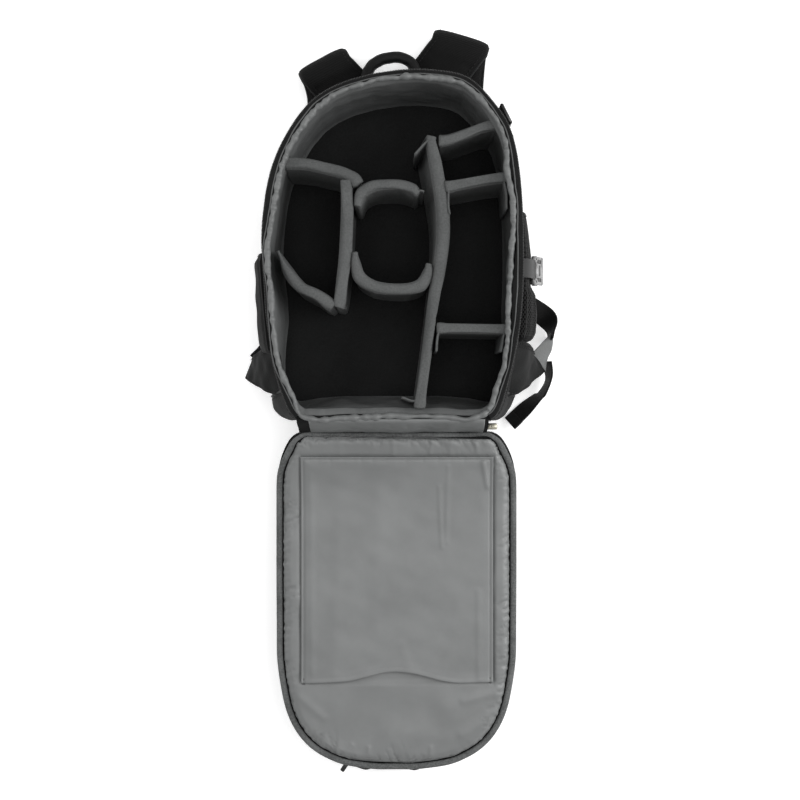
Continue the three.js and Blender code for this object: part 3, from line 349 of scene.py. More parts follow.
class Paint:
    """A procedural material, built node by node. Its sizes are in millimetres."""

    def __init__(self, name, slot, roughness, specular=0.5, metallic=0.0):
        self.material = bpy.data.materials.new(name)
        self.material.use_nodes = True
        self.tree = self.material.node_tree
        self.shader = self.tree.nodes["Principled BSDF"]
        values = {"Roughness": roughness, "Specular IOR Level": specular, "Metallic": metallic}
        for socket, value in values.items():
            self.shader.inputs[socket].default_value = value
        self.places = self.tree.nodes.new("ShaderNodeTexCoord")

    def node(self, kind, inputs, **settings):
        """Adds a node. Each of its inputs is a value or another node's output."""
        made = self.tree.nodes.new("ShaderNode" + kind)
        for key, value in settings.items():
            setattr(made, key, value)
        for key, value in inputs.items():
            if isinstance(value, bpy.types.NodeSocket):
                self.tree.links.new(value, made.inputs[key])
            else:
                made.inputs[key].default_value = value
        return made

    def feed(self, output, socket):
        self.tree.links.new(output, self.shader.inputs[socket])

    def grain(self, size, detail=3.0):
        """Noise with spots about that size."""
        return self.node("TexNoise", {"Vector": self.places.outputs["Object"], "Scale": 1 / (size * MM),
                                      "Detail": detail, "Roughness": 0.6}).outputs[0]

    def bands(self, period, axis, space, wobble):
        """Even ridges across one axis, from 0 to 1."""
        inputs = {"Vector": self.places.outputs[space], "Scale": math.pi / 10 / (period * MM),
                  "Distortion": wobble}
        return self.node("TexWave", inputs, wave_type="BANDS", bands_direction=axis).outputs[1]

    def math(self, operation, a, b):
        return self.node("Math", {0: a, 1: b}, operation=operation).outputs[0]

    def blend(self, a, b, share):
        return self.math("ADD", self.math("MULTIPLY", a, 1 - share), self.math("MULTIPLY", b, share))

    def colour(self, level, spread, field, cast=PLAIN, contrast=(0.3, 0.7)):
        """Mixes from a darker to a lighter tone by a field."""
        ramp = self.node("MapRange", {"Value": field, 1: contrast[0], 2: contrast[1]})
        dark, light = ([level * (1 + step) * c for c in cast] + [1] for step in (-spread, spread))
        mix = self.node("Mix", {0: ramp.outputs[0], 6: dark, 7: light}, data_type="RGBA")
        self.feed(mix.outputs[2], "Base Color")

    def roughen(self, field, low, high):
        self.feed(self.node("MapRange", {"Value": field, 3: low, 4: high}).outputs[0], "Roughness")

    def bump(self, *layers):
        """Stacks bump layers, each a field with its strength and depth."""
        normal = {}
        for field, strength, depth in layers:
            inputs = {"Height": field, "Strength": strength, "Distance": depth * MM, **normal}
            normal = {"Normal": self.node("Bump", inputs).outputs[0]}
        self.feed(normal["Normal"], "Normal")


def woven_paint(name, slot, level, thread, roughness, depth=0.12, spread=0.12, specular=0.5):
    """Plain woven cloth with fine threads and slow changes of tone."""
    paint = Paint(name, slot, roughness, specular)
    paint.colour(level, spread, paint.grain(45), COOL)
    weave = paint.math("MULTIPLY", *(paint.bands(thread, axis, "Object", 0.4) for axis in "XY"))
    paint.bump((paint.grain(7, 2), 0.3, depth * 2), (paint.grain(2.4, 2), 0.5, depth * 2),
               (weave, 0.5, depth))
    return paint.material


def brushed_paint(name, slot, level, cast=PLAIN, spread=0.14, size=0.9, specular=0.2):
    """Brushed loop cloth: short fibres that catch the light at their tips."""
    paint = Paint(name, slot, 0.92, specular)
    fine = paint.grain(size * 2.2)
    paint.colour(level, spread, paint.blend(paint.grain(38, 2), fine, 0.6), cast, (0.4, 0.6))
    paint.bump((paint.grain(6, 2), 0.5, 1.0), (fine, 0.9, 0.75))
    return paint.material


def ribbed_paint(name, slot, level, rib, roughness, cast=PLAIN, depth=0.3, specular=0.5):
    """Webbing: ribs across the strap and fine threads along it, by its UV map."""
    paint = Paint(name, slot, roughness, specular)
    ribs = paint.bands(rib, "Y", "UV", 0.15)
    threads = paint.bands(rib * 0.62, "X", "UV", 0.3)
    paint.colour(level, 0.25, paint.blend(ribs, paint.grain(6), 0.5), cast)
    paint.bump((threads, 0.35, depth * 0.7), (ribs, 0.7, depth))
    return paint.material


def moulded_paint(name, level, roughness, specular=0.5):
    """Moulded plastic with a fine spark-eroded grain."""
    paint = Paint(name, "black_plastic", roughness, specular)
    paint.colour(level, 0.15, paint.grain(12))
    paint.roughen(paint.grain(9), roughness - 0.08, roughness + 0.08)
    paint.bump((paint.grain(0.7, 2), 0.25, 0.08))
    return paint.material


def metal_paint(name, slot, level, cast, roughness):
    paint = Paint(name, slot, roughness, metallic=1.0)
    paint.colour(level, 1 / 7, paint.grain(3), cast)
    paint.roughen(paint.grain(1.5), roughness - 0.1, roughness + 0.15)
    paint.bump((paint.grain(0.8), 0.2, 0.05))
    return paint.material


def floor_paint():
    paint = Paint("studio_floor", None, 0.9)
    paint.colour(0.95, 0.02 / 0.95, paint.grain(400))
    paint.bump((paint.grain(10), 0.05, 0.1))
    paint.shader.inputs["Emission Color"].default_value = (1, 1, 1, 1)
    paint.shader.inputs["Emission Strength"].default_value = 0.35
    return paint.material


FLOOR_PAINT = floor_paint()
SHELL_CLOTH = woven_paint("shell_cloth", "shell_fabric", 0.0065, 0.7, 0.7, 0.3, 0.35, 0.1)
SEAM_CLOTH = woven_paint("seam_cloth", "shell_fabric", 0.009, 0.6, 0.6, specular=0.15)
LINING_GREY = woven_paint("lining_grey", "lining_grey", 0.155, 0.45, 0.42, 0.05, 0.07)
# The rim's roll is the same grey cloth as the lid's lining, made darker: painted shade where the roll turns
# from the light.
SHADED_LIP_LINING = woven_paint("shaded_lip_lining", "lining_grey", 0.12, 0.45, 0.5, 0.07)
WALL_LINING = woven_paint("wall_lining", "lining_padded", 0.11, 0.5, 0.7, 0.1, specular=0.3)
# The bays' floor cloth is painted near black, far darker than the walls: painted shade deep inside the bag.
SHADE_DARKENED_FLOOR_LINING = brushed_paint("shade_darkened_floor_lining", "lining_grey", 0.012, COOL)
LOOP_LINING = brushed_paint("loop_lining", "lining_padded", 0.088, COOL)
TAPE_CLOTH = brushed_paint("tape_cloth", "zip_tape", 0.1, COOL, spread=0.3)
DARK_TAPE = woven_paint("dark_tape", "zip_tape", 0.008, 0.6, 0.8, 0.2, 0.3, 0.12)
PIPING = woven_paint("piping", "zip_tape", 0.06, 0.6, 0.5)
WEBBING_CLOTH = ribbed_paint("webbing_cloth", "webbing", 0.0045, 1.3, 0.5, specular=0.15)
# A lighter copy of the black webbing: painted sheen where the strap's leg turns its face to the light.
PAINTED_SHEEN_WEBBING = ribbed_paint("painted_sheen_webbing", "webbing", 0.13, 1.3, 0.5, COOL)
GREY_WEBBING = ribbed_paint("grey_webbing", "webbing", 0.013, 1.3, 0.6, COOL)
THREAD = ribbed_paint("thread", "webbing", 0.1, 0.5, 0.6)
DARK_THREAD = ribbed_paint("dark_thread", "webbing", 0.012, 0.5, 0.7, specular=0.2)
STRAP_CLOTH = ribbed_paint("strap_cloth", "air_mesh", 0.006, 1.8, 0.75, depth=0.35, specular=0.1)
PAD_CLOTH = brushed_paint("pad_cloth", "air_mesh", 0.009, size=1.6, specular=0.15)
NET_CLOTH = brushed_paint("net_cloth", "air_mesh", 0.004, size=1.4, specular=0.1)
NET_THREAD = ribbed_paint("net_thread", "air_mesh", 0.016, 0.8, 0.6, specular=0.2)
BLACK_PLASTIC = moulded_paint("black_plastic", 0.014, 0.3)
# Black plastic painted light grey: a painted reflection of the lamps on the glossy buckle, its plug and the
# ring's plate.
REFLECTION_PAINTED_PLASTIC = moulded_paint("reflection_painted_plastic", 0.2, 0.25, 0.8)
ZIP_TEETH = moulded_paint("zip_teeth", 0.012, 0.45)
ZIP_METAL = metal_paint("zip_metal", "zip_metal", 0.875, (0.5, 0.48, 0.4), 0.42)


# Reading places off the solids

# How far off a ray starts: from an outline's centre, outside its top, from a wall, and above all
OUTLINE_REACH, TOP_REACH, WALL_REACH, ABOVE_ALL = 600 * MM, 50 * MM, 45 * MM, 500 * MM
BELOW_TOP = 1.5 * MM


class Solid:
    """Finds points on the surface of a node."""

    def __init__(self, node):
        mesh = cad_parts[node].data
        points = [vertex.co for vertex in mesh.vertices]
        self.tree = BVHTree.FromPolygons(points, [list(polygon.vertices) for polygon in mesh.polygons])

    def cast(self, start, direction):
        found = self.tree.ray_cast(Vector(start), Vector(direction).normalized())[0]
        return None if found is None else np.array(found)


class Edge:
    """The closed upper edge of a form from above: even steps, outward normals and heights."""

    def __init__(self, node, centre, levels, count, inset=3 * MM, finest=28):
        self.solid = Solid(node)
        self.finest = finest
        centre = np.array([*centre, 0.0])
        line = []
        for angle in np.linspace(0, 2 * math.pi, 360, endpoint=False):
            way = np.array([np.cos(angle), np.sin(angle), 0])
            start = centre + way * OUTLINE_REACH
            hits = [self.solid.cast(start + UP * level, -way) for level in levels]
            hits = [hit[:2] for hit in hits if hit is not None and (hit - centre)[:2] @ way[:2] > 0]
            line.append(max(hits, key=lambda hit: np.linalg.norm(hit - centre[:2])))
        self.place(np.array(line), count)
        self.find_heights(inset)
        moved = []
        for point, normal, height in zip(self.line, self.normal, self.height):
            start = (*(point + normal * TOP_REACH), height - BELOW_TOP)
            hit = self.solid.cast(start, (*-normal, 0))
            moved.append(point if hit is None else hit[:2])
        self.place(np.array(moved), count)
        self.find_heights(inset)

    def place(self, line, count):
        lengths = arc_lengths(closed(line))
        self.length = lengths[-1]
        self.travelled = np.linspace(0, self.length, count, endpoint=False)
        self.line = self.low_pass(sample(closed(line), lengths, self.travelled))
        ahead = unit(np.roll(self.line, -1, 0) - np.roll(self.line, 1, 0))
        self.normal = unit(self.soften(np.stack([ahead[:, 1], -ahead[:, 0]], 1), 3))

    def low_pass(self, line):
        """Smooths a closed outline's corners of facets and keeps its form."""
        strength = 1 + (np.abs(np.fft.fftfreq(len(line), 1 / len(line))) / self.finest) ** 6
        kept = np.fft.ifft(np.fft.fft(line[:, 0] + 1j * line[:, 1]) / strength)
        return np.column_stack([kept.real, kept.imag])

    @staticmethod
    def soften(values, times):
        for _ in range(times):
            values = (np.roll(values, 1, 0) + 2 * values + np.roll(values, -1, 0)) / 4
        return values

    def find_heights(self, inset):
        inner = self.line - self.normal * inset
        hits = [self.solid.cast((*point, ABOVE_ALL), -UP) for point in inner]
        known = np.mean([hit[2] for hit in hits if hit is not None])
        self.height = self.soften(np.array([known if hit is None else hit[2] for hit in hits]), 4)

    def at(self, inset, z, *layers, slack=1.0, bulge=0.0):
        """The edge moved inwards to a height, then outwards by waves and a bulge."""
        flat = self.line - self.normal * np.broadcast_to(inset, len(self.line))[:, None]
        row = np.column_stack([flat, np.broadcast_to(z, len(self.line))])
        row[:, :2] += self.normal * np.broadcast_to(waves(row, *layers) * slack + bulge, len(row))[:, None]
        return row

    def wall(self, solid, z, inside):
        """How far inwards the solid's wall lies at the given heights."""
        insets = []
        for point, normal, height in zip(self.line, self.normal, np.broadcast_to(z, len(self.line))):
            way = normal if inside else -normal
            hit = solid.cast((*(point - way * WALL_REACH), height), (*way, 0))
            insets.append(np.nan if hit is None else (point - hit[:2]) @ normal)
        insets, places = np.array(insets), np.arange(len(insets))
        known = ~np.isnan(insets)
        return self.soften(np.interp(places, places[known], insets[known]), 3)

    def without_hinge(self, near_y, half_width):
        """The columns of the edge in order, without those at the hinge."""
        away = (self.line[:, 1] > near_y) | (np.abs(self.line[:, 0]) > half_width)
        order = np.arange(len(away))
        start = next(i for i in order if away[i] and not away[i - 1])
        return [i for i in np.roll(order, -start) if away[i]]


def between(share, shares, rows):
    """Each column of the rows, at a share between those of the rows."""
    return np.array([np.interp(share, shares, column) for column in rows.T])


def shrinking_rings(ring, shares, z):
    """Rings that draw in towards the middle of a flat panel."""
    middle = ring[:, :2].mean(0)
    return [np.column_stack([middle + (ring[:, :2] - middle) * share, np.broadcast_to(z, len(ring))])
            for share in shares]


def table_at(table, places):
    """Values of a table of places and values, in metres."""
    places_mm, values = np.array(table).T
    return np.interp(places, places_mm * MM, values * MM)


# Strips of cloth, webbing and padding

STRIP_REST = 0.2 * MM


def cross_line(x, y, z, width, turn=0.0, tilt=0.0):
    """The two ends of a strip's cross-line, in millimetres and degrees."""
    a, b = math.radians(turn), math.radians(tilt)
    half = np.array([math.cos(a) * math.cos(b), math.sin(a) * math.cos(b), math.sin(b)]) * width / 2
    middle = np.array([x, y, z])
    return middle - half, middle + half


class Strip:
    """A strip through cross-lines given in millimetres, with a rounded section."""

    def __init__(self, lines, thickness=1.8, step=1.5, columns=14, power=9):
        rows = smooth_curve(np.array([[*left, *right] for left, right in lines]) * MM, step * MM)
        self.left, self.right = rows[:, :3], rows[:, 3:]
        self.middle = (self.left + self.right) / 2
        self.side = self.right - self.left
        self.over = unit(np.cross(self.side, unit(np.gradient(self.middle, axis=0))))
        self.thickness = thickness * MM
        self.power = power
        self.columns = columns

    def line(self, share, upper=True, lift=0.0):
        """A line along the strip's face at a share of its width, from -0.5 to 0.5."""
        filled = max(1 - abs(2 * share) ** self.power, 0)
        rise = (self.thickness / 2 * filled ** (1 / self.power) + lift) * (1 if upper else -1)
        return self.middle + self.side * share + self.over * rise

    def make(self, name, material, *nodes, wrinkle=(0, 1, 1)):
        """Makes the strip. Its wrinkle has a rise, a size and a seed."""
        shares = -np.cos(np.linspace(0, math.pi, self.columns)) / 2
        upper = [self.line(share) for share in shares]
        lower = [self.line(share, upper=False) for share in shares[-2:0:-1]]
        grid = np.stack(upper + lower, 1)
        grid[:, :, 2] = np.maximum(grid[:, :, 2], STRIP_REST)
        grid = grid + self.over[:, None] * waves(grid, wrinkle)[:, :, None]
        return sheet_object(name, grid, material, *nodes, caps=(True, True))


def get_points(thing):
    points = np.empty(len(thing.data.vertices) * 3)
    thing.data.vertices.foreach_get("co", points)
    return points.reshape(-1, 3)


def set_points(thing, points):
    thing.data.vertices.foreach_set("co", points.ravel())
    thing.data.update()


def to_neighbours(thing, points):
    """The way from each point to the mean of its neighbours."""
    edges = np.empty(len(thing.data.edges) * 2, int)
    thing.data.edges.foreach_get("vertices", edges)
    first, second = edges.reshape(-1, 2).T
    total = np.zeros_like(points)
    np.add.at(total, first, points[second])
    np.add.at(total, second, points[first])
    return total / np.maximum(np.bincount(edges, minlength=len(points)), 1)[:, None] - points


def soften_node(name, node, material, voxel, passes, wrinkle):
    """A padded copy of a node: even mesh, rounded edges and slow wrinkles."""
    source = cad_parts[node]
    thing = source.copy()
    thing.data = source.data.copy()
    thing.name = name
    thing.parent = None
    for key in list(thing.keys()):
        del thing[key]
    bpy.context.scene.collection.objects.link(thing)
    thing.data.remesh_voxel_size = voxel * MM
    thing.data.remesh_voxel_adaptivity = 0
    bpy.context.view_layer.objects.active = thing
    bpy.ops.object.voxel_remesh()
    points = get_points(thing)
    for _ in range(passes):
        for share in (0.6, -0.55):
            points = points + to_neighbours(thing, points) * share
    set_points(thing, points)
    normals = np.empty(points.size)
    thing.data.vertices.foreach_get("normal", normals)
    set_points(thing, points + normals.reshape(-1, 3) * waves(points, wrinkle)[:, None])
    thing.data.polygons.foreach_set("use_smooth", [True] * len(thing.data.polygons))
    thing.data.materials.clear()
    thing.data.materials.append(material)
    return fit(thing, node)


# Body

BASE = 20.5 * MM
FLOOR = 31.8 * MM
HINGE_HALF = 103 * MM
BACK_EDGE_ROW = 20
# Where the upright seams lie, and where the rim's roll draws in towards the bag's top
SEAM_HALF, SEAM_YS = 130 * MM, (118 * MM, -158 * MM)
TOP_START, TOP_FULL = 60 * MM, 160 * MM
TAPE_THICKNESS, CLOTH_THICKNESS = 0.5 * MM, 0.9 * MM
# Along the bag, and how far the left rim leans out or the roll lies further in
LEFT_LEAN = ((-175, 0), (-165, 0.5), (-150, 2), (-132, 3.3), (-110, 2), (-67, 2.8), (-50, 1.5), (-20, 0))
ROLL_LEFT = ((-167, 0), (-154, -2), (-132, -5.5), (-111, -7), (-89, -5.4), (-67, -4.2), (-46, -4.2),
             (-24, -6.2), (-4, -6), (19, -1.6), (45, 0))
ROLL_RIGHT = ((-185, 0), (-167, -1), (-154, -0.6), (-132, -3.6), (-111, -1.4), (-78, 2.9), (-46, 4.6),
              (-13, 2.1), (19, -0.2), (52, -1.4), (84, 3.2), (115, 0))
# The lower left corner's bulge: its place along the bag, its length and its height
CORNER_Y, CORNER_LENGTH, CORNER_BULGE = -166 * MM, 15 * MM, 6 * MM
# How far in from the rim and above it the body's hem and its zip tape run
HEM = ((7.2, -2.5), (7, -0.6), (4.5, -0.3), (1.6, -0.3), (0.5, -0.7), (0.1, -1.8))
BODY_TAPE = ((6.6, 0.2), (6.7, 0.9), (6.3, 1.4), (4.6, 1.7), (3.1, 1.65), (1.7, 1.6), (0.9, 1.3), (0.5, 0.6))


def roll_shift(rim):
    x, y = rim.line.T
    return rim.soften(np.where(x < 0, table_at(ROLL_LEFT, y), table_at(ROLL_RIGHT, y)), 12)


def make_body():
    """The outer cloth with its seams, the zip round its rim, and the lining."""
    rim = Edge("outer_shell", (0, 0), (0.112, 0.118, 0.124), 960, finest=48)
    lean = rim.soften(table_at(LEFT_LEAN, rim.line[:, 1]) * (rim.line[:, 0] < 0), 12)
    rim.place(rim.line + rim.normal * lean[:, None], len(rim.line))
    height, shell = rim.height, Solid("outer_shell")
    corner = CORNER_BULGE * hump(rim.line[:, 1] - CORNER_Y, CORNER_LENGTH) * (rim.line[:, 0] < 0)
    known = [0, 0.012, 0.04, 0.09, 0.16, 0.3, 0.45, 0.6, 0.75, 0.9, 0.97]
    insets = np.array([
        rim.wall(shell, np.maximum(BASE + share * (height - BASE), BASE + 0.3 * MM), False) for share in known
    ])
    wall = []
    for share in (*np.linspace(0.965, 0.1, BACK_EDGE_ROW), 0.07, 0.045, 0.025, 0.012, 0.004):
        wall.append(rim.at(
            between(share, known, insets), BASE + share * (height - BASE), (1.1, 60, 3), (0.4, 20, 4),
            slack=math.sin(math.pi * min(1, share * 1.03)) ** 0.6,
            bulge=corner * math.sin(math.pi * min(1, share * 1.1)),
        ))
    hem = [rim.at(inset * MM, height + rise * MM) for inset, rise in HEM]
    last = rim.at(insets[0] + 3 * MM, BASE)
    under = shrinking_rings(last, (0.9, 0.75, 0.55, 0.3, 0.05), BASE)
    rows = hem + wall + [last] + under
    sheet_object("body_shell", rows, SHELL_CLOTH, "outer_shell", caps=(False, True))
    sew_body(rim, np.array(wall))
    zip_body(rim)
    make_lining(rim)


def sew_body(rim, wall):
    """The welts and stitches on the body's outer wall."""
    seams, threads = Pile(), Pile()
    outward = np.column_stack([rim.normal, 0 * rim.line[:, 0]])
    back_edge = wall[BACK_EDGE_ROW] + outward * 0.8 * MM
    seams.add_tube(np.vstack([back_edge, back_edge[:2]]), 1.5 * MM)
    for sign in (-1, 1):
        for y in SEAM_YS:
            column = np.linalg.norm(rim.line - (sign * SEAM_HALF, y), axis=1).argmin()
            seams.add_tube(wall[:BACK_EDGE_ROW, column] + outward[column] * 0.3 * MM, 1.2 * MM,
                           up=outward[column])
            for beside in (column - 3, (column + 3) % len(outward)):
                threads.add_stitches(wall[:BACK_EDGE_ROW, beside] + outward[beside] * 0.2 * MM,
                                     outward[beside])
    for row in (1, BACK_EDGE_ROW):
        threads.add_stitches(wall[row] + outward * 0.3 * MM, outward)
    seams.make("body_seams", SEAM_CLOTH)
    threads.make("body_seam_stitches", DARK_THREAD)


def zip_body(rim):
    """The zip tape on the body's rim, with its teeth, its stitches and the lining's piping."""
    height, shift = rim.height, roll_shift(rim)
    order = rim.without_hinge(-0.18, HINGE_HALF + 2 * MM)
    rows = []
    for inset, rise in BODY_TAPE:
        row = rim.at(inset * MM + (np.maximum(shift, 0) if inset > 6 else 0), height + rise * MM)
        row[:, 2] += waves(row, (0.15, 18, 9))
        rows.append(row[order])
    sheet_object("body_zip_tape_cloth", rows, DARK_TAPE, "body_zip_tape", thickness=TAPE_THICKNESS)
    finish_zip("body_zip", rim.at(0.9 * MM, height + 1.5 * MM)[order], rim.normal[order], 2.2 * MM,
               [rim.at(4.0 * MM, height + 1.8 * MM)[order]], DARK_THREAD)
    near_top = 1.4 * MM * smoothstep(TOP_START, TOP_FULL, rim.line[:, 1])
    inset = 6.3 * MM + waves(rim.at(0, 0), (0.3, 30, 31)) - near_top + 0.85 * np.minimum(shift, 0)
    piping = Pile()
    piping.add_tube(rim.at(inset, height + 1.9 * MM)[order], 0.75 * MM)
    piping.make("rim_piping", PIPING)


def finish_zip(name, line, outward, length, seams, thread, radius=0.5 * MM, pitch=1.7 * MM):
    """The teeth of a zip, across its line at an even pitch, and the stitches along its seams."""
    teeth, stitches = Pile(), Pile()
    travelled = arc_lengths(line)
    for place in np.arange(pitch, travelled[-1], pitch):
        middle = sample(line, travelled, place)
        way = np.array([*unit(sample(outward, travelled, place)), 0]) * length / 2
        teeth.add_tube(np.array([middle - way, middle + UP * radius * 0.5, middle + way]), radius, sides=4)
    teeth.make(name + "_teeth", ZIP_TEETH)
    for seam in seams:
        stitches.add_stitches(seam, UP)
    stitches.make(name + "_stitches", thread)


def make_lining(rim):
    """The padded wall cloth, with a puckered roll on the rim and a separate floor."""
    height, lining = rim.height, Solid("padded_lining")
    x, y = rim.line.T
    ground = rim.at(0, 0)
    at_hinge = (1 - smoothstep(84 * MM, 116 * MM, np.abs(x + 4 * MM))) * smoothstep(-0.17, -0.183, y)
    at_top = smoothstep(TOP_START, TOP_FULL, y)
    aside = roll_shift(rim)
    middle = 11 * MM + waves(ground, (0.8, 90, 21), (0.5, 16, 29)) + aside
    middle -= 7.6 * MM * at_hinge + 2.6 * MM * at_top
    puckers = pinches(rim.travelled, rim.length, 11 * MM, 1.9 * MM, 22) * (1 - 0.7 * at_hinge)
    flutes = ripple(ground, 9 * MM, 23)
    half = 3.1 * MM + waves(ground, (0.4, 35, 28))
    lift = 1.2 * MM * np.clip(-aside / (5 * MM), 0, 1) - 0.4 * MM
    roll = [rim.at(middle - 2.6 * MM, height - 3 * MM), rim.at(middle - 3.2 * MM, height - 0.8 * MM)]
    for degrees in (165, 145, 122, 98, 74, 50, 26, 0, -30, -60):
        angle = math.radians(degrees)
        plump = 1 - 0.45 * puckers * math.cos(angle - 1.2) ** 2 + 0.2 * flutes
        roll.append(rim.at(middle + half * math.cos(angle) * plump,
                           height + lift + 3.9 * MM * math.sin(angle) * plump))
    # The roll's darker grey is painted shade.
    sheet_object("lining_roll", roll, SHADED_LIP_LINING, wrap=True)
    known = [0.01, 0.06, 0.12, 0.25, 0.45, 0.65, 0.85]
    insets = np.array([rim.wall(lining, FLOOR + share * (height - FLOOR), True) for share in known])
    rows = [roll[-1]]
    for share in (0.93, 0.9, *np.linspace(0.86, 0.12, 22), 0.08, 0.05, 0.025, 0.008):
        steeper = np.minimum(aside, 0) * 0.9 * smoothstep(0.2, 0.85, share)
        rows.append(rim.at(between(share, known, insets) + steeper, FLOOR + share * (height - FLOOR),
                           (1.5, 55, 24), (0.45, 19, 25), slack=-math.sin(math.pi * share) ** 0.5))
    walls = sheet_object("lining_walls", rows, WALL_LINING, "padded_lining", wrap=True)
    floor = [rim.at(insets[0] - 1 * MM, FLOOR - 0.6 * MM)]
    for ring in shrinking_rings(rim.at(insets[0], FLOOR), (0.995, 0.9, 0.8, 0.7, 0.55, 0.4, 0.25, 0.1, 0.02),
                                FLOOR + 0.4 * MM):
        ring[:, 2] += waves(ring, (0.4, 50, 27))
        floor.append(ring)
    # The floor's near-black tone is painted shade.
    sheet_object("lining_floor", floor, SHADE_DARKENED_FLOOR_LINING, caps=(False, True))


# Dividers

DIVIDER_WIDTH = 14
DIVIDER_TOP = 135.5
DIVIDER_FOOT = 31.8
HELD_FOOT = 40 * MM
TAB_WIDTH = 2.6

# Paths of the dividers: x, y, share of the width (1 if left out), and how far the foot stands aside
DIVIDERS = {
    "main": ((44, 120, 0.85, -8), (42, 112, 1, -8), (45.6, 88, 1, -7.7), (49.8, 61, 1, -7),
             (52.6, 34, 1, -5.6), (52.6, 7, 1, -4.2), (48.3, -27, 1, -2), (42.8, -63), (37.7, -108),
             (32.2, -149), (30, -167), (29.4, -174, 0.8)),
    "right_upper": ((49.5, 115.4), (62, 117), (80, 123), (94, 128), (105, 130.7), (112.8, 132.4, 0.9)),
    "right_middle": ((57.2, 64.5), (63, 65.4), (78, 68), (99.4, 72), (118.7, 74.6), (126.3, 75.6, 0.9)),
    "right_lower": ((47.8, -87.6), (60, -87.6), (83, -87.9), (120, -88.7), (128, -88.9, 0.9)),
    "left_top": ((-117.8, 90.1), (-94, 88.7), (-76, 85), (-56.6, 80), (-43.5, 73.7), (-37, 67, 0.9)),
    "left_side": ((-50, 72.5, 1.05), (-50, 39, 1.07), (-51, 12, 1.07), (-52.6, -14.4, 1.07), (-55, -36, 1.07),
                  (-57.5, -57.6, 1.03), (-59, -65, 0.8)),
    "left_diagonal": ((-124, -5, 0.3), (-114, -24, 0.75), (-99.5, -42, 0.97), (-82.3, -51.5), (-70, -60),
                      (-64.5, -64.5, 0.7)),
    "lens_upper": ((-38, 44, 0.55), (-33.5, 57.5, 0.8), (-22, 65, 0.9), (-8, 66.8, 0.9), (8, 66.6, 0.9),
                   (20.9, 62.8, 0.8), (27, 57.2, 0.5)),
    "lens_lower": ((-41, -5.6, 0.45), (-39, -20, 0.75), (-33.9, -33, 0.9), (-21, -41.5, 0.9),
                   (-2.8, -44.8, 0.9), (17, -44.6, 0.9), (30, -40, 0.9), (37, -28.5, 0.75),
                   (39, -17.8, 0.45)),
}
# Thin tabs that hold the ends of the dividers they are named after
TABS = {
    "main_top": ((40, 116), (34, 111), (24, 100)),
    "main_bottom": ((27, -165), (20, -166.2), (9, -163)),
    "right_middle_inner": ((61, 61), (60, 56), (61.3, 36)),
    "right_middle_outer": ((120.5, 71), (122, 63), (124, 42)),
    "right_lower_inner": ((50, -92), (48.5, -96), (46.4, -113)),
    "right_lower_outer": ((120.6, -92.5), (119.5, -97), (117, -113)),
    "lens_upper_end": ((26, 58.5), (30, 61), (34, 60)),
}


def divider_section(side, crown):
    """Across from -1 to 1 and height from 0 to 1 round a padded wall, from its left foot."""
    left = [(-1 - 0.05 * math.sin(math.pi * t), t * 0.93) for t in np.linspace(0, 1, side)]
    left += [(-1.1, 0.937), (-1.1, 0.947), (-0.96, 0.95)]
    top = [(-0.96 * math.copysign(abs(math.cos(a)) ** 0.75, math.cos(a)), 0.95 + 0.05 * math.sin(a) ** 0.7)
           for a in np.linspace(0, math.pi, crown)[1:-1]]
    right = [(-across, height) for across, height in left[::-1]]
    return np.array(left + top + right + [(0.5, 0), (0, 0), (-0.5, 0)])


def wall_grid(rows, width, section, step):
    """Sections of an upright wall along a smooth path."""
    full = np.array([(*row, *(1, 0)[len(row) - 2:]) for row in rows])
    line = smooth_curve(full * (MM, MM, 1, MM), step)
    ahead = unit(np.gradient(line[:, :2], axis=0))
    sideways = np.column_stack([-ahead[:, 1], ahead[:, 0]])
    across = section[:, 0] * line[:, 2:3] * width / 2 * MM
    height = section[None, :, 1]
    grid = np.zeros((len(line), len(section), 3))
    grid[:, :, :2] = line[:, None, :2] + sideways[:, None] * across[:, :, None]
    grid[:, :, 0] += line[:, 3:4] * (1 - height)
    grid[:, :, 2] = (DIVIDER_FOOT + (DIVIDER_TOP - DIVIDER_FOOT) * height) * MM
    return grid


def rounded_ends(grid, inset):
    """Adds end rings drawn in towards their middles, so that the ends are soft."""
    def ring(end, before, share):
        middle = end.mean(0)
        flat = (end - middle) * (1 - share * np.array([1, 1, 0.06])) + middle
        return flat + unit(middle - before.mean(0)) * inset * math.sin(math.pi / 2 * share)
    first = [ring(grid[0], grid[1], share) for share in (0.9, 0.6, 0.25)]
    last = [ring(grid[-1], grid[-2], share) for share in (0.25, 0.6, 0.9)]
    return np.array([*first, *grid, *last])


def make_dividers():
    for name, rows in DIVIDERS.items():
        grid = rounded_ends(wall_grid(rows, DIVIDER_WIDTH, divider_section(21, 13), 3.2 * MM), 1.6 * MM)
        thing = sheet_object("padded_" + name, grid, LOOP_LINING, "divider_" + name, caps=(True, True))
        soft_cloth(thing, 3.0, 0.012, 2.2 * MM, get_points(thing)[:, 2] < HELD_FOOT)
    for name, rows in TABS.items():
        grid = wall_grid(rows, TAB_WIDTH, divider_section(17, 7), 1.6 * MM)
        grid[:, :, :2] += waves(grid, (0.5, 30, len(name)))[:, :, None]
        sheet_object("tab_" + name, grid, LOOP_LINING, caps=(True, True))


# Cloth that fills out

CLOTH_FRAMES = 20
CLOTH = {"quality": 4, "mass": 0.25, "tension_stiffness": 12, "compression_stiffness": 12,
         "shear_stiffness": 6, "bending_stiffness": 0.3, "use_pressure": True, "vertex_group_mass": "held"}
# How far each point of the settled cloth is drawn to the mean of its neighbours
CLOTH_SMOOTHING = 0.35
soft_things = []


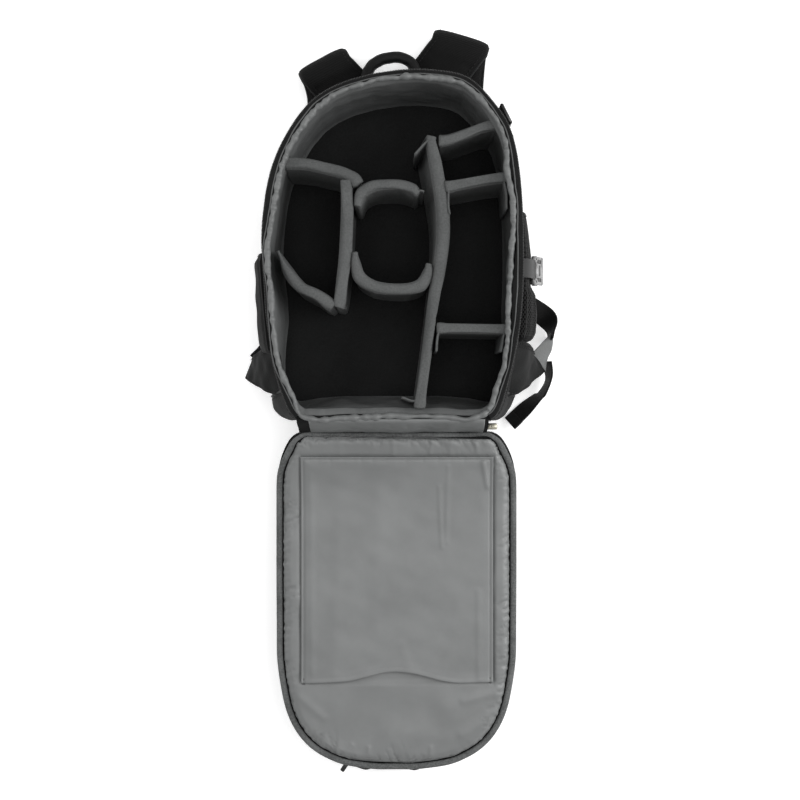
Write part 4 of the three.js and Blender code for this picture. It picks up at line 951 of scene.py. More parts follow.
def soft_cloth(thing, pressure, slack, cap, held, floor=0.0):
    """Marks a closed piece that settle_cloth fills out. Held vertices stay in place."""
    group = thing.vertex_groups.new(name="held")
    group.add(np.flatnonzero(held).tolist(), 1.0, "REPLACE")
    settings = thing.modifiers.new("cloth", "CLOTH").settings
    for key, value in CLOTH.items():
        setattr(settings, key, value)
    settings.uniform_pressure_force = pressure
    settings.shrink_min = -slack
    settings.effector_weights.gravity = 0
    soft_things.append((thing, cap, floor))


def settle_cloth():
    """Runs the cloth of all the marked pieces together and keeps its capped result."""
    scene = bpy.context.scene
    scene.frame_start, scene.frame_end = 1, CLOTH_FRAMES
    for number in range(1, CLOTH_FRAMES + 1):
        scene.frame_set(number)
    graph = bpy.context.evaluated_depsgraph_get()
    found = [get_points(thing.evaluated_get(graph)) for thing, _, _ in soft_things]
    for (thing, cap, floor), moved in zip(soft_things, found):
        thing.modifiers.remove(thing.modifiers["cloth"])
        start = get_points(thing)
        way = np.nan_to_num(moved - start)
        distance = np.linalg.norm(way, axis=1, keepdims=True)
        points = start + way * np.minimum(1, cap / np.maximum(distance, 1e-9))
        points += to_neighbours(thing, points) * CLOTH_SMOOTHING
        points[:, 2] = np.maximum(points[:, 2], floor)
        set_points(thing, points)
    scene.frame_set(1)


# Lid

LID_NEAR = -200.5 * MM
LID_TOP = 63 * MM
LID_DEPTH = 13
LINING_RISE = 8.2 * MM
# The middle of the lid across the bag, and where its tape narrows towards the hinge
LID_MIDDLE = 4 * MM
TAPE_NARROWS, TAPE_NARROW = -216 * MM, -203 * MM
# Where the lining's dip under the sleeve fades out towards the sleeve's mouth
MOUTH_LOW, MOUTH_HIGH = -487 * MM, -479 * MM
# How far in from the lid's edge and above its top the cloth of its side runs
LID_SIDE = ((14, 0), (8, 0), (3, 0), (0.8, -0.2), (0.2, -1), (0, -3), (0, -5.5), (0.3, -8), (1.5, -10.6),
            (4, -12.2), (7, -LID_DEPTH))
# Shares of the tape's width, from its outer edge, and how high it stands
LID_TAPE = ((1, 0.2), (0.985, 1.3), (0.9, 2.0), (0.74, 2.45), (0.58, 2.6), (0.42, 2.55), (0.26, 2.3),
            (0.12, 1.8), (0.03, 1.1), (0, 0.1))
TAPE_WIDTH = 6.0 * MM
# The sleeve's stitched sides, its top edge, and how far in it is sewn
SLEEVE_LEFT, SLEEVE_RIGHT, SLEEVE_TOP = -103.2 * MM, 112.4 * MM, -228.4 * MM
STITCH_INSET = 3.0 * MM
# The folds in the lid's cloth: both ends, then the width and height of the fold
LINING_FOLDS = (
    (0, -207, 1, -226, 2.5, 0.8), (43, -207, 42, -224, 2.2, 0.9), (64, -207, 65, -226, 3, 0.7),
    (92, -208, 94, -224, 2.4, 0.8), (-60, -208, -58, -226, 4, 0.5), (113, -495, 80, -503, 5, 1.2),
    (105, -525, 78, -541, 6, 1.1), (-104, -500, -78, -522, 5, 0.9), (-50, -568, -46, -553, 2.5, 0.9),
    (-28, -571, -27, -556, 2.2, 0.9), (42, -572, 43, -556, 2.6, 0.9), (20, -540, 60, -545, 9, 0.6),
)
SLEEVE_FOLDS = (
    (52, -262, 55, -330, 2.2, 0.6), (62, -240, 60, -325, 2.6, 0.6), (101, -234, 106, -262, 2.4, 1.6),
    (-14, -240, -20, -420, 9, 0.5), (60, -470, 74, -400, 8, 0.6), (96, -380, 97, -478, 3.5, 0.7),
    (-92, -250, -91, -470, 4, 0.5), (10, -440, 22, -478, 6, 0.5), (-60, -300, -66, -470, 7, 0.4),
)


def lid_rise(y):
    return 22 * MM * np.maximum(0, 1 - (LID_NEAR - np.asarray(y)) / (95 * MM)) ** 2


def side_chains(line):
    """Functions that give a closed outline's left and right x for a y."""
    low, high = line[:, 1].argmin(), line[:, 1].argmax()
    line, split = np.roll(line, -low, 0), (high - low) % len(line)
    chains = [chain[np.argsort(chain[:, 1])] for chain in (line[:split + 1], closed(line)[split:])]
    chains.sort(key=lambda chain: chain[:, 0].mean())
    return [lambda y, c=chain: np.interp(y, c[:, 1], c[:, 0]) for chain in chains]


def make_lid():
    """The lid's cloth, its zip tape, its lining and the sleeve on it."""
    edge = Edge("lid_panel", (LID_MIDDLE, -0.39), (0.056, 0.06, 0.066, 0.072, 0.078, 0.082), 760)
    x, y = edge.line.T
    top = LID_TOP + lid_rise(y)
    rows = [edge.at(inset * MM, top + rise * MM, (0.4, 40, 51)) for inset, rise in LID_SIDE]
    for ring in shrinking_rings(rows[-1], (0.94, 0.85, 0.7, 0.5, 0.3, 0.1, 0.01), 0):
        ring[:, 2] = LID_TOP - LID_DEPTH * MM + lid_rise(ring[:, 1])
        rows.append(ring)
    sheet_object("lid_shell", rows, SHELL_CLOTH, "lid_panel", caps=(False, True))

    near = smoothstep(TAPE_NARROWS, TAPE_NARROW, y)
    corner = smoothstep(98 * MM, 114 * MM, np.abs(x - LID_MIDDLE)) * smoothstep(-250 * MM, -215 * MM, y)
    start = 0.3 * MM + 3.0 * MM * corner
    width = TAPE_WIDTH * (1 - 0.3 * near)
    ground = edge.at(0, 0)
    flutes = waves(ground, (1, 16, 55)) * (0.12 + 0.5 * near)
    tape = []
    for share, rise in LID_TAPE:
        row = edge.at(start + width * share, top + rise * MM)
        row[:, 2] += (flutes + waves(row, (0.2, 30, 52))) * min(1, rise)
        tape.append(row)
    sheet_object("lid_zip_tape_cloth", tape, TAPE_CLOTH, "lid_zip_tape", wrap=True, thickness=TAPE_THICKNESS)
    order = edge.without_hinge(LID_NEAR - 1.5 * MM, 0.2)
    finish_zip("lid_zip", edge.at(0.3 * MM, top + 0.9 * MM)[order], edge.normal[order], 2.0 * MM,
               [edge.at(start + width * 0.86, top + 2.35 * MM)[order]], THREAD)
    ragged = waves(ground, (0.4, 6, 59))
    make_lid_lining(edge.at(start + width + 2.2 * MM - 1.3 * MM * near + ragged, 0)[:, :2])
    make_sleeve()


def fold_field(points, folds):
    total = 0
    for x0, y0, x1, y1, width, rise in folds:
        first, way = np.array([x0, y0]) * MM, np.array([x1 - x0, y1 - y0]) * MM
        share = np.clip((points[:, :2] - first) @ way / (way @ way), 0, 1)
        away = np.linalg.norm(points[:, :2] - first - share[:, None] * way, axis=1)
        total = total + rise * MM * hump(away, width * MM)
    return total


def sleeve_distance(points):
    """How far outside the sleeve's sides and top edge each point lies. Inside is negative."""
    half = (SLEEVE_RIGHT - SLEEVE_LEFT) / 2
    aside = np.abs(points[:, 0] - (SLEEVE_LEFT + SLEEVE_RIGHT) / 2) - half
    above = points[:, 1] - SLEEVE_TOP
    outside = np.hypot(np.maximum(aside, 0), np.maximum(above, 0))
    return outside + np.minimum(np.maximum(aside, above), 0)


def make_lid_lining(seam):
    """The cloth of the lid inside its seam: puckered along it and sunk under the sleeve."""
    left, right = side_chains(seam)
    low, high = seam[:, 1].min(), seam[:, 1].max()
    rows, columns = 236, 170
    ys = high - 0.2 * MM - (high - low - 0.4 * MM) * np.linspace(0, 1, rows)
    even = np.linspace(0, 1, columns)
    shares = (1 - np.cos(math.pi * even)) / 2 * 0.4 + even * 0.6
    grid = np.zeros((rows, columns, 3))
    grid[:, :, 0] = left(ys)[:, None] + (right(ys) - left(ys))[:, None] * shares
    grid[:, :, 1] = ys[:, None]
    flat = grid.reshape(-1, 3)
    lengths = arc_lengths(closed(seam))
    length = lengths[-1]
    distances = np.linalg.norm(flat[:, None, :2] - seam[None], axis=2)
    away, place = distances.min(1), lengths[distances.argmin(1)]
    crown = np.sqrt(np.maximum(0, 1 - (1 - np.clip(away / (9 * MM), 0, 1)) ** 2))
    rise = 0.3 * MM + 8.0 * MM * crown
    sharp = pinches((place + away * 0.45) % length, length, 7.5 * MM, 1.3 * MM, 53)
    wide = pinches((place + away * 0.6) % length, length, 27 * MM, 4.5 * MM, 56)
    reach = 9 * MM + waves(place[:, None] * (1, 0, 0), (7, 60, 57))
    rise -= (sharp * 1.8 * MM + wide * 1.5 * MM) * hump(away, np.maximum(reach, 4 * MM)) * (away > 0.4 * MM)
    distance = sleeve_distance(flat)
    open_end = smoothstep(MOUTH_LOW, MOUTH_HIGH, flat[:, 1])
    rise -= 2.2 * MM * hump(np.maximum(distance, 0), 2.6 * MM) * open_end * (distance > -4 * MM)
    rise -= 1.6 * MM * smoothstep(-4 * MM, -8 * MM, distance) * open_end
    rise += waves(flat, (0.7, 60, 54), (0.25, 24, 58)) * smoothstep(0, 12 * MM, away)
    rise += fold_field(flat, LINING_FOLDS)
    flat[:, 2] = LID_TOP + np.maximum(rise, 0.2 * MM) + lid_rise(flat[:, 1])
    lining = sheet_object("lid_lining_cloth", grid, LINING_GREY, "lid_lining")


def sleeve_height(points):
    """The top of the sleeve's cloth along a row, dented at its stitches and puffed beside them."""
    inside = -sleeve_distance(points)
    along = points[:, 0] + points[:, 1]
    puckers = pinches(along - along.min(), 0.6, 14 * MM, 1.8 * MM, 63)
    beside = hump(inside - STITCH_INSET, 5 * MM)
    rise = LINING_RISE + 0.5 * MM - 1.3 * MM * hump(inside - STITCH_INSET, 0.9 * MM)
    rise -= (0.7 + puckers * 0.5) * MM * beside
    rise += waves(points, (0.7, 80, 61), (0.18, 26, 62)) * smoothstep(3 * MM, 16 * MM, inside)
    rise += fold_field(points, SLEEVE_FOLDS) * smoothstep(2 * MM, 7 * MM, inside)
    return LID_TOP + rise + lid_rise(points[:, 1])


def make_sleeve():
    """The sleeve, open at its curved mouth towards the lid's far end, with its stitches."""
    node = Solid("lid_sleeve")
    low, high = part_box("lid_sleeve")
    columns, rows = 136, 156
    xs = np.linspace(SLEEVE_LEFT, SLEEVE_RIGHT, columns)
    mouths = [node.cast((x, -0.6, LID_TOP + 9.4 * MM), ALONG)[1]
              for x in np.clip(xs, low.x + 0.5 * MM, high.x - 0.5 * MM)]
    mouths = np.convolve(np.pad(mouths, 4, mode="edge"), np.ones(9) / 9, mode="valid")
    even = np.linspace(0, 1, rows)
    grid = []
    for share in even * 0.75 + 0.25 * (1 - np.cos(math.pi * even)) / 2:
        row = np.column_stack([xs, SLEEVE_TOP + (mouths - SLEEVE_TOP) * share, 0 * xs])
        above = row[:, 1] - mouths
        hem = 0.5 * smoothstep(4.2 * MM, 3.2 * MM, above) + 0.7 * smoothstep(14 * MM, 0, above)
        row[:, 2] = sleeve_height(row) + hem * MM
        grid.append(row)
    sleeve = sheet_object("lid_sleeve_cloth", grid, LINING_GREY, "lid_sleeve", thickness=CLOTH_THICKNESS)

    left, right, top = SLEEVE_LEFT + STITCH_INSET, SLEEVE_RIGHT - STITCH_INSET, SLEEVE_TOP - STITCH_INSET
    sides = np.array([[left, mouths[0] + 1 * MM, 0], [left, top, 0], [right, top, 0],
                      [right, mouths[-1] + 1 * MM, 0]])
    path = even_steps(sides, 1.5 * MM)
    path[:, 2] = sleeve_height(path)
    hem_line = np.column_stack([xs, mouths + 3.4 * MM, 0 * xs])[3:-3]
    hem_line[:, 2] = sleeve_height(hem_line) + 1.1 * MM
    stitches = Pile()
    for line in (path, hem_line):
        stitches.add_stitches(line, UP, radius=0.3 * MM)
    for x, y in ((left, mouths[0] + 2 * MM), (right, mouths[-1] + 2 * MM)):
        for shift in np.arange(-3, 3.1, 0.75) * MM:
            bar = np.array([[x - 1.6 * MM, y + shift, 0], [x + 1.6 * MM, y + shift, 0]])
            bar[:, 2] = sleeve_height(bar).max() + 0.6 * MM
            stitches.add_tube(bar, 0.4 * MM, sides=5)
    stitches.make("sleeve_stitches", THREAD)


# Front pocket and hinge

POCKET_LEVELS = (49, 46, 42, 38, 34, 30, 26, 22, 18, 14, 10, 7, 4.5, 2.5, 1.2)
POCKET_ZIP_LEVEL = 31.5 * MM
POCKET_ZIP_NEAR = -0.30
PULL_TURN = -34
# The hinge's fall from the body's rim to the lid, as y and z, and the ends of its grey middle
HINGE_FALL = ((-185.6, 128.2), (-187.9, 127.4), (-190.6, 122.5), (-194.6, 111.5), (-198.2, 97.0),
              (-200.3, 84.0), (-200.6, 78.0))
HINGE_GREY = (-91 * MM, 100 * MM)


def make_front_pocket():
    edge = Edge("front_pocket", (LID_MIDDLE, -0.41), (0.02, 0.024, 0.03), 600, inset=0.5 * MM)
    solid = Solid("front_pocket")

    def ring(level, proud=0.0):
        """The pocket's cloth at a level in millimetres, dented between its floor and the lid."""
        slack = math.sin(math.pi * min(1, level / 50))
        return edge.at(edge.wall(solid, level * MM, False), level * MM, (1.3, 50, 71), slack=slack,
                       bulge=proud - 0.91 * MM * slack)

    rows = [ring(level) for level in POCKET_LEVELS]
    rows[0][:, 2] += lid_rise(rows[0][:, 1]) * 0.9
    rows.extend(shrinking_rings(rows[-1], (0.985, 0.95, 0.85, 0.65, 0.4, 0.15, 0.02), 0.5 * MM))
    sheet_object("front_pocket_cloth", rows, SHELL_CLOTH, "front_pocket", caps=(False, True))
    order = np.flatnonzero(edge.line[:, 1] < POCKET_ZIP_NEAR)
    order = np.roll(order, -(np.flatnonzero(np.diff(order) > 1).sum() + 1))
    tape = [ring(level, 0.5 * MM)[order] for level in (36.5, 34.5, 32.5, 30.5, 28.5, 26.5)]
    sheet_object("pocket_zip_tape", tape, DARK_TAPE, thickness=TAPE_THICKNESS)
    middle = ring(POCKET_ZIP_LEVEL / MM, 1.0 * MM)[order]
    finish_zip("pocket_zip", middle, edge.normal[order], 0.8 * MM,
               [ring(level, 0.9 * MM)[order] for level in (36.0, 27.0)], DARK_THREAD, radius=0.7 * MM)
    welt, foot = Pile(), ring(5, 0.7 * MM)
    welt.add_tube(np.vstack([foot, foot[:2]]), 1.4 * MM)
    welt.make("pocket_welt", SEAM_CLOTH)
    low, high = np.array(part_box("pocket_zip_pull")) / MM
    pull = Pile()
    pull.add_block((low - high) / 2, (high - low) / 2, 0.9)
    pull.place((low + high) / 2, turned(PULL_TURN))
    pull.make("pocket_pull_tab", BLACK_PLASTIC, "pocket_zip_pull")


def hang_cloth(name, first, last, paint, *nodes):
    """A part of the hinge's cloth between two places across the bag, gathered halfway down."""
    fall = smooth_curve(np.array(HINGE_FALL) * MM, 1.5 * MM)
    xs = np.linspace(first, last, max(12, round((last - first) / (1.3 * MM))))
    grid = []
    for (y, z), share in zip(fall, np.arange(len(fall)) / (len(fall) - 1)):
        spots = np.column_stack([xs, 0 * xs, 0 * xs + 0.03 * share])
        gather = waves(spots, (1.1, 40, 81), (0.35, 12, 82)) * math.sin(math.pi * share)
        grid.append(np.column_stack([xs, y + gather, z + 0 * xs]))
    cloth = sheet_object(name, grid, paint, *nodes, thickness=CLOTH_THICKNESS)
    return cloth, (float(last - first), float(arc_lengths(fall)[-1]))


def make_hinge():
    """The hanging cloth between the body and the lid, and the zip's slider beside it."""
    left, right = HINGE_GREY
    hang_cloth("hinge_end_left", -HINGE_HALF - 1 * MM, left, SHELL_CLOTH)
    cloth, size = hang_cloth("hinge_cloth", left, right, LINING_GREY, "hinge_gusset")
    hang_cloth("hinge_end_right", right, HINGE_HALF + 1 * MM, SHELL_CLOTH)
    low, high = np.array(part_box("zip_slider")) / MM
    x, y, _ = (low + high) / 2
    slider = Pile()
    slider.add_block(low + (0, 0.6, 3.4), high - (1, 0.6, 0), 1.0)
    slider.add_block(low, (high[0] - 1, high[1], low[2] + 2.0), 0.8)
    slider.add_block((x - 2, y - 1, low[2] + 1), (x + 2.5, y + 1, high[2] + 0.6), 0.5)
    slider.make("slider_body", ZIP_METAL, "zip_slider")


# Harness

STRAP_WIDTH = 58
STRAP_THICKNESS = 9.5
STRAP_LOOP, STRAP_LOWER, STRAP_UPPER = 12.4, 4.9, 15.3
WEBBING_WIDTH, TAIL_WIDTH = 25, 20
# The ends of each strap's seam and fold, and the first cross-line under it as x, y and turn
STRAPS = {
    "left": (((-72, 168.3), (-20.1, 203.2)), ((-111, 218.1), (-58.9, 246)), (-70.7, 189.4, 12)),
    "right": (((8, 206.9), (58, 170.9)), ((51, 267.9), (112, 248.4)), (74.9, 196.9, -4)),
}
# The right strap's cross-lines under the bag. The left strap's are mirrored.
LOWER_STRAP = ((74.2, 150, 0), (81, 99, 4), (92.4, 50.6, 10), (102.2, 11.3, 9), (106.4, -3.8, 0))
HANDLE = ((-36.4, 168.8), (-33.2, 197.8), (-27.2, 216.2), (-14.4, 226.2), (1.4, 229.4), (13.4, 227.4),
          (22.4, 221.2), (28.6, 203.4), (31.4, 178.1))
# Cross-lines as x, y, z, turn and tilt
WEBBING_RIGHT = ((107.8, -18.8, 1.4, 0, 0), (116.2, -28.1, 1.4, 35, 0), (137.2, -41.3, 1.4, 48, 0),
                 (170.5, -61.7, 2.5, 48, 0), (181.3, -71.3, 6.5, 42, 25), (185.1, -79.7, 11, 45, 52),
                 (184.4, -87.8, 13.4, 49, 72), (183.6, -96, 13, 60, 76))
WEBBING_LEFT = ((-107.8, -18.8, 1.4, 0, 0), (-112, -35.6, 1.4, -24, 0), (-126, -71.3, 1.4, -20, 0),
                (-142.8, -103.1, 7, -28, 0), (-156.8, -120.9, 19, -40, 0))
TAIL = ((178.8, -120, 16, 0, 62), (181.7, -138.8, 14.1, 30, 70), (174.3, -156.6, 12, -10, 68),
        (168.6, -161.6, 11, -40, 62), (153.2, -176.4, 7.4, -48, 35), (136.5, -192.6, 7, -50, 35))
TAIL_HEM = ((145.5, -184, 7.2, -48.5, 35), (141, -188.4, 7.1, -49, 35), (136.5, -192.6, 7, -50, 35))
# Cross-lines by both their ends
LIT_LEG = (((181.8, -89.4, 17.5), (185.9, -85.6, 12)), ((179.6, -91.6, 18.2), (186.2, -97, 13)),
           ((175, -96.2, 19.2), (184.4, -107.5, 15)), ((168.4, -103, 21.6), (179.6, -117.5, 18)),
           ((160.2, -111.4, 25.6), (176.6, -132, 24.2)))
WINGS = {
    "right": (((131.6, -97.5, 122.5), (116.2, -163.1, 113.6)), ((149.8, -102.2, 97), (140, -157.2, 89.4)),
              ((156.8, -106.9, 58.8), (159.6, -143.6, 52.4)), ((160.4, -111.6, 24.3), (175.7, -132.4, 23.1))),
    "left": (((-128.8, -103.1, 114.9), (-112, -163.1, 113.6)),
             ((-141.4, -106.9, 91.9), (-135.8, -157.5, 89.4)),
             ((-154, -112.5, 58.8), (-156.8, -148.1, 56.2)), ((-161, -117.2, 29.4), (-170.1, -140.6, 28.2))),
}


def strap_lines(seam, crease, first, side):
    """Cross-lines from the seam at the yoke, round the fold and down under the bag."""
    fold = np.array([(*end, 0.0) for end in crease])
    along = unit(fold[1] - fold[0])
    outward = np.array([-along[1], along[0], 0])
    start = np.array([(*end, STRAP_UPPER) for end in seam])
    loop = []
    for degrees in (90, 60, 30, 0, -30, -60, -90):
        angle = math.radians(degrees)
        line = fold + outward * (STRAP_LOOP * (math.cos(angle) - 1) - STRAP_THICKNESS / 2)
        line[:, 2] = STRAP_LOWER + STRAP_LOOP * (1 + math.sin(angle))
        loop.append(line)
    lines = [start]
    for share, rise in ((0.2, 0.03), (0.6, 0.5), (0.85, 0.9)):
        line = start + (loop[0] - start) * share
        line[:, 2] = STRAP_UPPER + rise * (loop[0][0, 2] - STRAP_UPPER)
        lines.append(line)
    below = [first, *((side * x, y, side * turn) for x, y, turn in LOWER_STRAP)]
    return lines + loop + [cross_line(x, y, STRAP_LOWER, STRAP_WIDTH, turn) for x, y, turn in below]


def make_block(name, node, bevel):
    """A block with rounded edges in the place of a node."""
    low, high = (np.array(corner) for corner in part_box(node))
    signs = np.array([[x, y, z] for z in (-1, 1) for y in (-1, 1) for x in (-1, 1)])
    faces = [(0, 2, 3, 1), (4, 5, 7, 6), (0, 1, 5, 4), (2, 6, 7, 3), (0, 4, 6, 2), (1, 3, 7, 5)]
    thing = mesh_object(name, signs * (high - low) / 2 + (low + high) / 2, faces, BLACK_PLASTIC)
    rounding = thing.modifiers.new("rounding", "BEVEL")
    rounding.width = bevel
    rounding.segments = 3
    fit(thing, node)


def make_straps():
    """The shoulder straps, the handle and the yoke that they are sewn to."""
    stitches, bindings = Pile(), Pile()
    for name, places in STRAPS.items():
        lines = strap_lines(*places, 1 if name == "right" else -1)
        strap = Strip(lines, STRAP_THICKNESS, step=3, columns=18, power=3.2)
        thing = strap.make(f"strap_{name}", STRAP_CLOTH, f"shoulder_strap_{name}", wrinkle=(0.5, 34, 91))
        at_edge = np.isin(np.arange(2 * strap.columns - 2), (0, strap.columns - 1))
        held = np.resize(at_edge, len(thing.data.vertices))
        soft_cloth(thing, 3.0, 0.02, 2.0 * MM, held, floor=0.1 * MM)
        for line in (strap.left, strap.right):
            line = np.column_stack([line[:, :2], np.maximum(line[:, 2], 1.7 * MM)])
            bindings.add_tube(line, 1.6 * MM)
        for share in (-0.43, 0.43):
            stitches.add_stitches(strap.line(share), strap.over)
            stitches.add_stitches(strap.line(share, upper=False), -strap.over)
        make_block(f"adjuster_{name}", f"strap_adjuster_{name}", 1.2 * MM)
    stitches.make("strap_stitches", DARK_THREAD)
    bindings.make("strap_bindings", SEAM_CLOTH, slot="webbing")
    grip = Strip([((x, y, 27), (x, y, 43)) for x, y in HANDLE], 12.5, step=3, power=2.6)
    grip.make("handle", WEBBING_CLOTH, "top_handle", wrinkle=(0.35, 12, 92))
    soften_node("yoke", "strap_yoke", SHELL_CLOTH, 3, 5, (0.3, 30, 93))


def make_webbing():
    """The straps' webbing and the wings at the bag's foot that it is sewn to."""
    for name, rows, width, node in (("webbing_right", WEBBING_RIGHT, WEBBING_WIDTH, "strap_webbing_right"),
                                    ("webbing_left", WEBBING_LEFT, WEBBING_WIDTH, "strap_webbing_left"),
                                    ("webbing_tail", TAIL, TAIL_WIDTH, "strap_tail_right")):
        lines = [cross_line(x, y, z, width, turn, tilt) for x, y, z, turn, tilt in rows]
        Strip(lines, step=2).make(name, WEBBING_CLOTH, node)
    # This leg's lighter webbing is a painted sheen on the black strap.
    Strip(LIT_LEG).make("webbing_right_leg", PAINTED_SHEEN_WEBBING)
    hem = [cross_line(x, y, z, TAIL_WIDTH + 0.6, turn, tilt) for x, y, z, turn, tilt in TAIL_HEM]
    Strip(hem, 3.4, power=6).make("tail_hem", WEBBING_CLOTH)
    threads = Pile()
    for name, lines in WINGS.items():
        wing = Strip(lines, 4, step=2, columns=30, power=5)
        wing.make(f"wing_{name}_cloth", SHELL_CLOTH, f"wing_{name}", wrinkle=(1.0, 26, 101))
        for share in (-0.44, -0.39, 0.44):
            for upper in (True, False):
                threads.add_stitches(wing.line(share, upper, 0.5 * MM), wing.over * (1 if upper else -1))
    threads.make("wing_stitches", DARK_THREAD)


# Sides

POCKET_FOOT, POCKET_TOP = 27 * MM, 116.8 * MM
# The net's ends along the bag, how far it reaches up and over, and its strands' pitch and step
NET_HIGH, NET_LOW, NET_REACH, NET_PITCH, NET_STEP = 36 * MM, -97 * MM, 112 * MM, 5.2 * MM, 2.6 * MM
# Where the net starts, where it bends over the pocket's edge, and the arc that it bends round
NET_FOOT, NET_BEND, NET_MIDDLE, NET_RADIUS = 30 * MM, 102 * MM, 138 * MM, 40 * MM
BUCKLE_LEAN = 32
BUCKLE_MIDDLE = (154.8, -22, 102.2)
# Blocks of the buckle's socket and of the dark blocks that stand for the shade in its openings (painted
# shade), lying flat, and of the plug in its place
SOCKET_BLOCKS = (
    ((-15.6, 3, -2.4), (-11.4, 21, 2.2), 1.3), ((11.4, 3, -2.4), (15.6, 21, 2.2), 1.3),
    ((-8.6, 4, -2.2), (8.6, 21, 2.0), 1.3), ((-15.4, 3, -2.0), (15.4, 7.6, 1.6), 1.2),
    ((-15.6, 15.6, -2.6), (15.6, 21.4, 2.5), 1.4),
)
SLOT_SHADE_BLOCKS = (
    ((-9, 1.6, -1.6), (9, 4.4, 1.9), 0.2), ((-6, 9.8, 1.2), (6, 13.4, 2.15), 0.1),
    ((-12, 7.8, -1.4), (-8.4, 15.6, 1.7), 0.1), ((8.4, 7.8, -1.4), (12, 15.6, 1.7), 0.1),
)
PLUG_BLOCKS = (
    ((156.8, -36, 57), (164.3, -30.5, 80), 1.4), ((156.8, -13.5, 57), (164.3, -8, 80), 1.4),
    ((157.6, -31.5, 57), (163.5, -12.5, 60), 1.0), ((157.6, -31.5, 62.5), (163.5, -12.5, 65.5), 1.0),
    ((157.6, -31.5, 69), (163.5, -12.5, 80), 1.0),
)
RING_TURN = -63.4
RING_MIDDLE = (123.6, 147.0, 108.3)
RING_BLOCKS = (
    ((-12.3, -2.2, 7), (12.3, 2.2, 10.8), 1.3), ((-12.3, -2.2, -10.8), (12.3, 2.2, -7), 1.3),
    ((-12.3, -2.2, -10.8), (-8.7, 2.2, 10.8), 1.3), ((8.7, -2.2, -10.8), (12.3, 2.2, 10.8), 1.3),
)
PLATE_BLOCK = ((-9.5, -1.6, -8.5), (9.5, -0.2, 8.5), 0.5)
UPPER_STRAP = ((109.6, 140, 115), (115, 142.6, 115), (119.2, 144.7, 114.2), (122.6, 146.4, 112.6),
               (123.4, 146.8, 109.5))
# The side strap's two parts as x and z, with their nodes, and its edges along the bag
SIDE_STRAPS = {
    "top": ("side_strap_upper", (
        (134, 126.3), (140, 127.2), (145, 126), (149, 122.6), (151.8, 116.5), (153.6, 109), (156.2, 102.6))),
    "bottom": ("side_strap_lower", (
        (160, 59.5), (159.6, 50), (158.2, 38), (154.5, 27.8), (147, 23.2), (136, 21.8))),
}
SIDE_STRAP_EDGES = (-11.5, -32.5)


def pocket_line(solid, sign, ys, zs):
    """A line on the outside of a side pocket, seen from the side."""
    points = [solid.cast((sign * 0.3, y, z), (-sign, 0, 0)) for y, z in zip(ys, zs)]
    return np.array([point for point in points if point is not None])


def make_side_pockets():
    """A cloth pocket on the left and a net one on the right, with bound edges."""
    left, right = Solid("side_pocket_left"), Solid("side_pocket_right")
    soften_node("cloth_pocket", "side_pocket_left", SHELL_CLOTH, 2.2, 3, (0.7, 30, 112))
    soften_node("net_pocket", "side_pocket_right", NET_CLOTH, 2.2, 3, (0.3, 30, 111))
    binding = Pile()
    rising = np.linspace(POCKET_FOOT, POCKET_TOP, 60)
    for solid, sign, mouth, radius in ((left, -1, -6.2 * MM, 1.3 * MM), (right, 1, 38.6 * MM, 1.5 * MM)):
        binding.add_tube(pocket_line(solid, sign, [mouth] * 60, rising), radius, up=ALONG)
    for solid, sign, first, last in ((left, -1, -6, -110), (right, 1, 39, -97)):
        top = pocket_line(solid, sign, np.linspace(first, last, 50) * MM, [POCKET_TOP - 0.6 * MM] * 50)
        binding.add_tube(top + UP * 0.4 * MM, 1.1 * MM)
    binding.make("pocket_binding", SEAM_CLOTH, slot="webbing")
    net = Pile()
    for leaning_up in (True, False):
        for shift in np.arange(0, NET_HIGH - NET_LOW + NET_REACH, NET_PITCH):
            line = []
            for along in np.arange(0, NET_REACH, NET_STEP):
                y = NET_HIGH + (along if leaning_up else NET_REACH - along) - shift
                line.append(net_point(right, y, along) if NET_LOW <= y <= NET_HIGH else None)
            line = [point for point in line if point is not None]
            if len(line) > 2:
                net.add_tube(np.array(line), 0.55 * MM, sides=4, up=np.array([1.0, 0, 0.3]))
    net.make("pocket_net", NET_THREAD)


def net_point(solid, y, along):
    """A point of the net, by a place along the bag and a way up the side and over the edge."""
    height = min(NET_FOOT + along, NET_BEND)
    angle = max(0.0, NET_FOOT + along - NET_BEND) / NET_RADIUS * math.pi / 2
    way = np.array([math.cos(angle), 0, math.sin(angle)])
    point = solid.cast(np.array([NET_MIDDLE, y, height]) + way * 60 * MM, -way)
    return None if point is None else point + way * 0.4 * MM


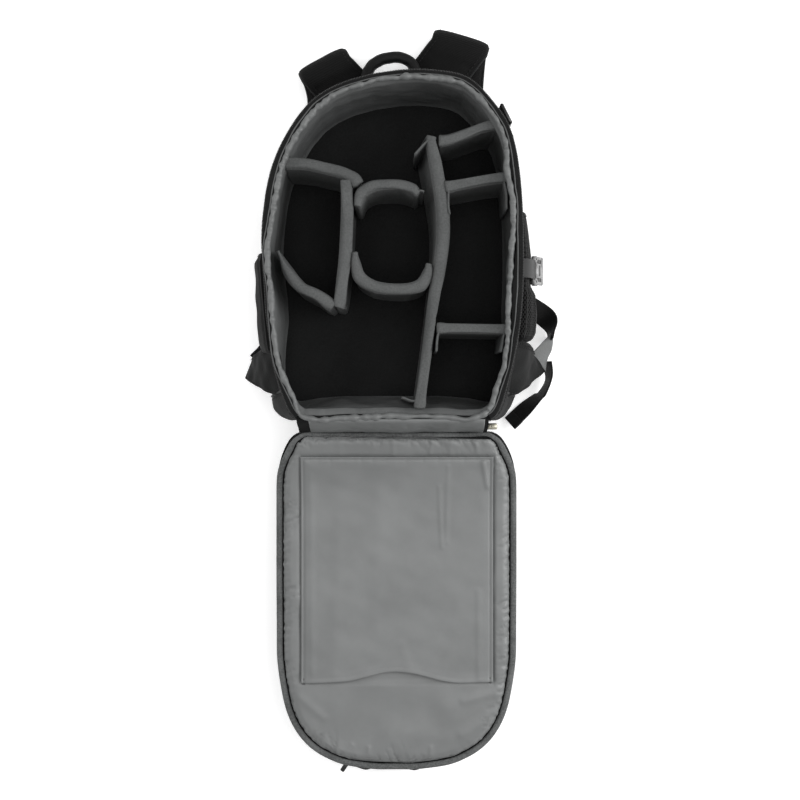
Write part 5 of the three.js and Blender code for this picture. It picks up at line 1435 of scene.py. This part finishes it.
def make_buckle():
    """The clip on the bag's side: a socket that leans outwards and a plug under it."""
    lean = math.radians(BUCKLE_LEAN)
    across, down = (0, 1, 0), (math.sin(lean), 0, -math.cos(lean))
    spin = np.column_stack([across, down, np.cross(down, across)])
    socket, slot_shade, plug = Pile(), Pile(), Pile()
    socket.add_blocks(SOCKET_BLOCKS)
    for u in (-12.4, 12.4):
        socket.add_tube(np.array([[u, 2.8, -2.2], [u, 2.8, 2.3]]) * MM, 3.5 * MM, sides=20, up=ALONG)
        # Dark discs stand for the shade inside the round openings: painted shade.
        slot_shade.add_tube(np.array([[u, 2.8, 2.0], [u, 2.8, 2.6]]) * MM, 1.3 * MM, sides=14, up=ALONG)
    bar = np.array([[-13, 0.4, 0], [13, 0.4, 0]]) * MM
    socket.add_tube(even_steps(bar, 3 * MM), 1.5 * MM, sides=12)
    slot_shade.add_blocks(SLOT_SHADE_BLOCKS)
    plug.add_blocks(PLUG_BLOCKS)
    for pile in (socket, slot_shade):
        pile.place(BUCKLE_MIDDLE, spin)
    # The socket and the plug carry the painted reflection.
    socket.make("buckle_socket", REFLECTION_PAINTED_PLASTIC, "side_buckle_socket")
    # Dark plastic in the buckle's openings: painted shade.
    slot_shade.make("buckle_slots", BLACK_PLASTIC)
    plug.make("buckle_plug", REFLECTION_PAINTED_PLASTIC, "side_buckle_plug")


def make_upper_ring():
    """The ring near the bag's top and the short strap that holds it."""
    lines = [cross_line(*place, 20, RING_TURN) for place in UPPER_STRAP]
    Strip(lines, step=1.2).make("upper_strap_loop", GREY_WEBBING, "upper_strap")
    ring, plate = Pile(), Pile()
    ring.add_blocks(RING_BLOCKS)
    plate.add_block(*PLATE_BLOCK)
    for pile in (ring, plate):
        pile.place(RING_MIDDLE, turned(RING_TURN))
    ring.make("strap_ring", BLACK_PLASTIC, "upper_ring")
    # The plate carries the same painted reflection.
    plate.make("strap_ring_plate", REFLECTION_PAINTED_PLASTIC)


def make_sides():
    for name, (node, places) in SIDE_STRAPS.items():
        lines = [[(x, y, z) for y in SIDE_STRAP_EDGES] for x, z in places]
        Strip(lines).make(f"side_strap_{name}", GREY_WEBBING, node)
    make_buckle()
    make_upper_ring()
    make_side_pockets()


def make_pads():
    for seed, node in ((121, "back_pad_upper"), (122, "back_pad_lower")):
        pad = soften_node(node + "_mesh", node, PAD_CLOTH, 4, 4, (0.5, 30, seed))
        soft_cloth(pad, 4.0, 0.01, 4 * MM, get_points(pad)[:, 2] > 18 * MM, floor=0.1 * MM)


make_camera()
make_studio()
make_body()
make_dividers()
make_lid()
make_front_pocket()
make_hinge()
make_straps()
make_webbing()
make_sides()
make_pads()
settle_cloth()

bpy.context.view_layer.update()
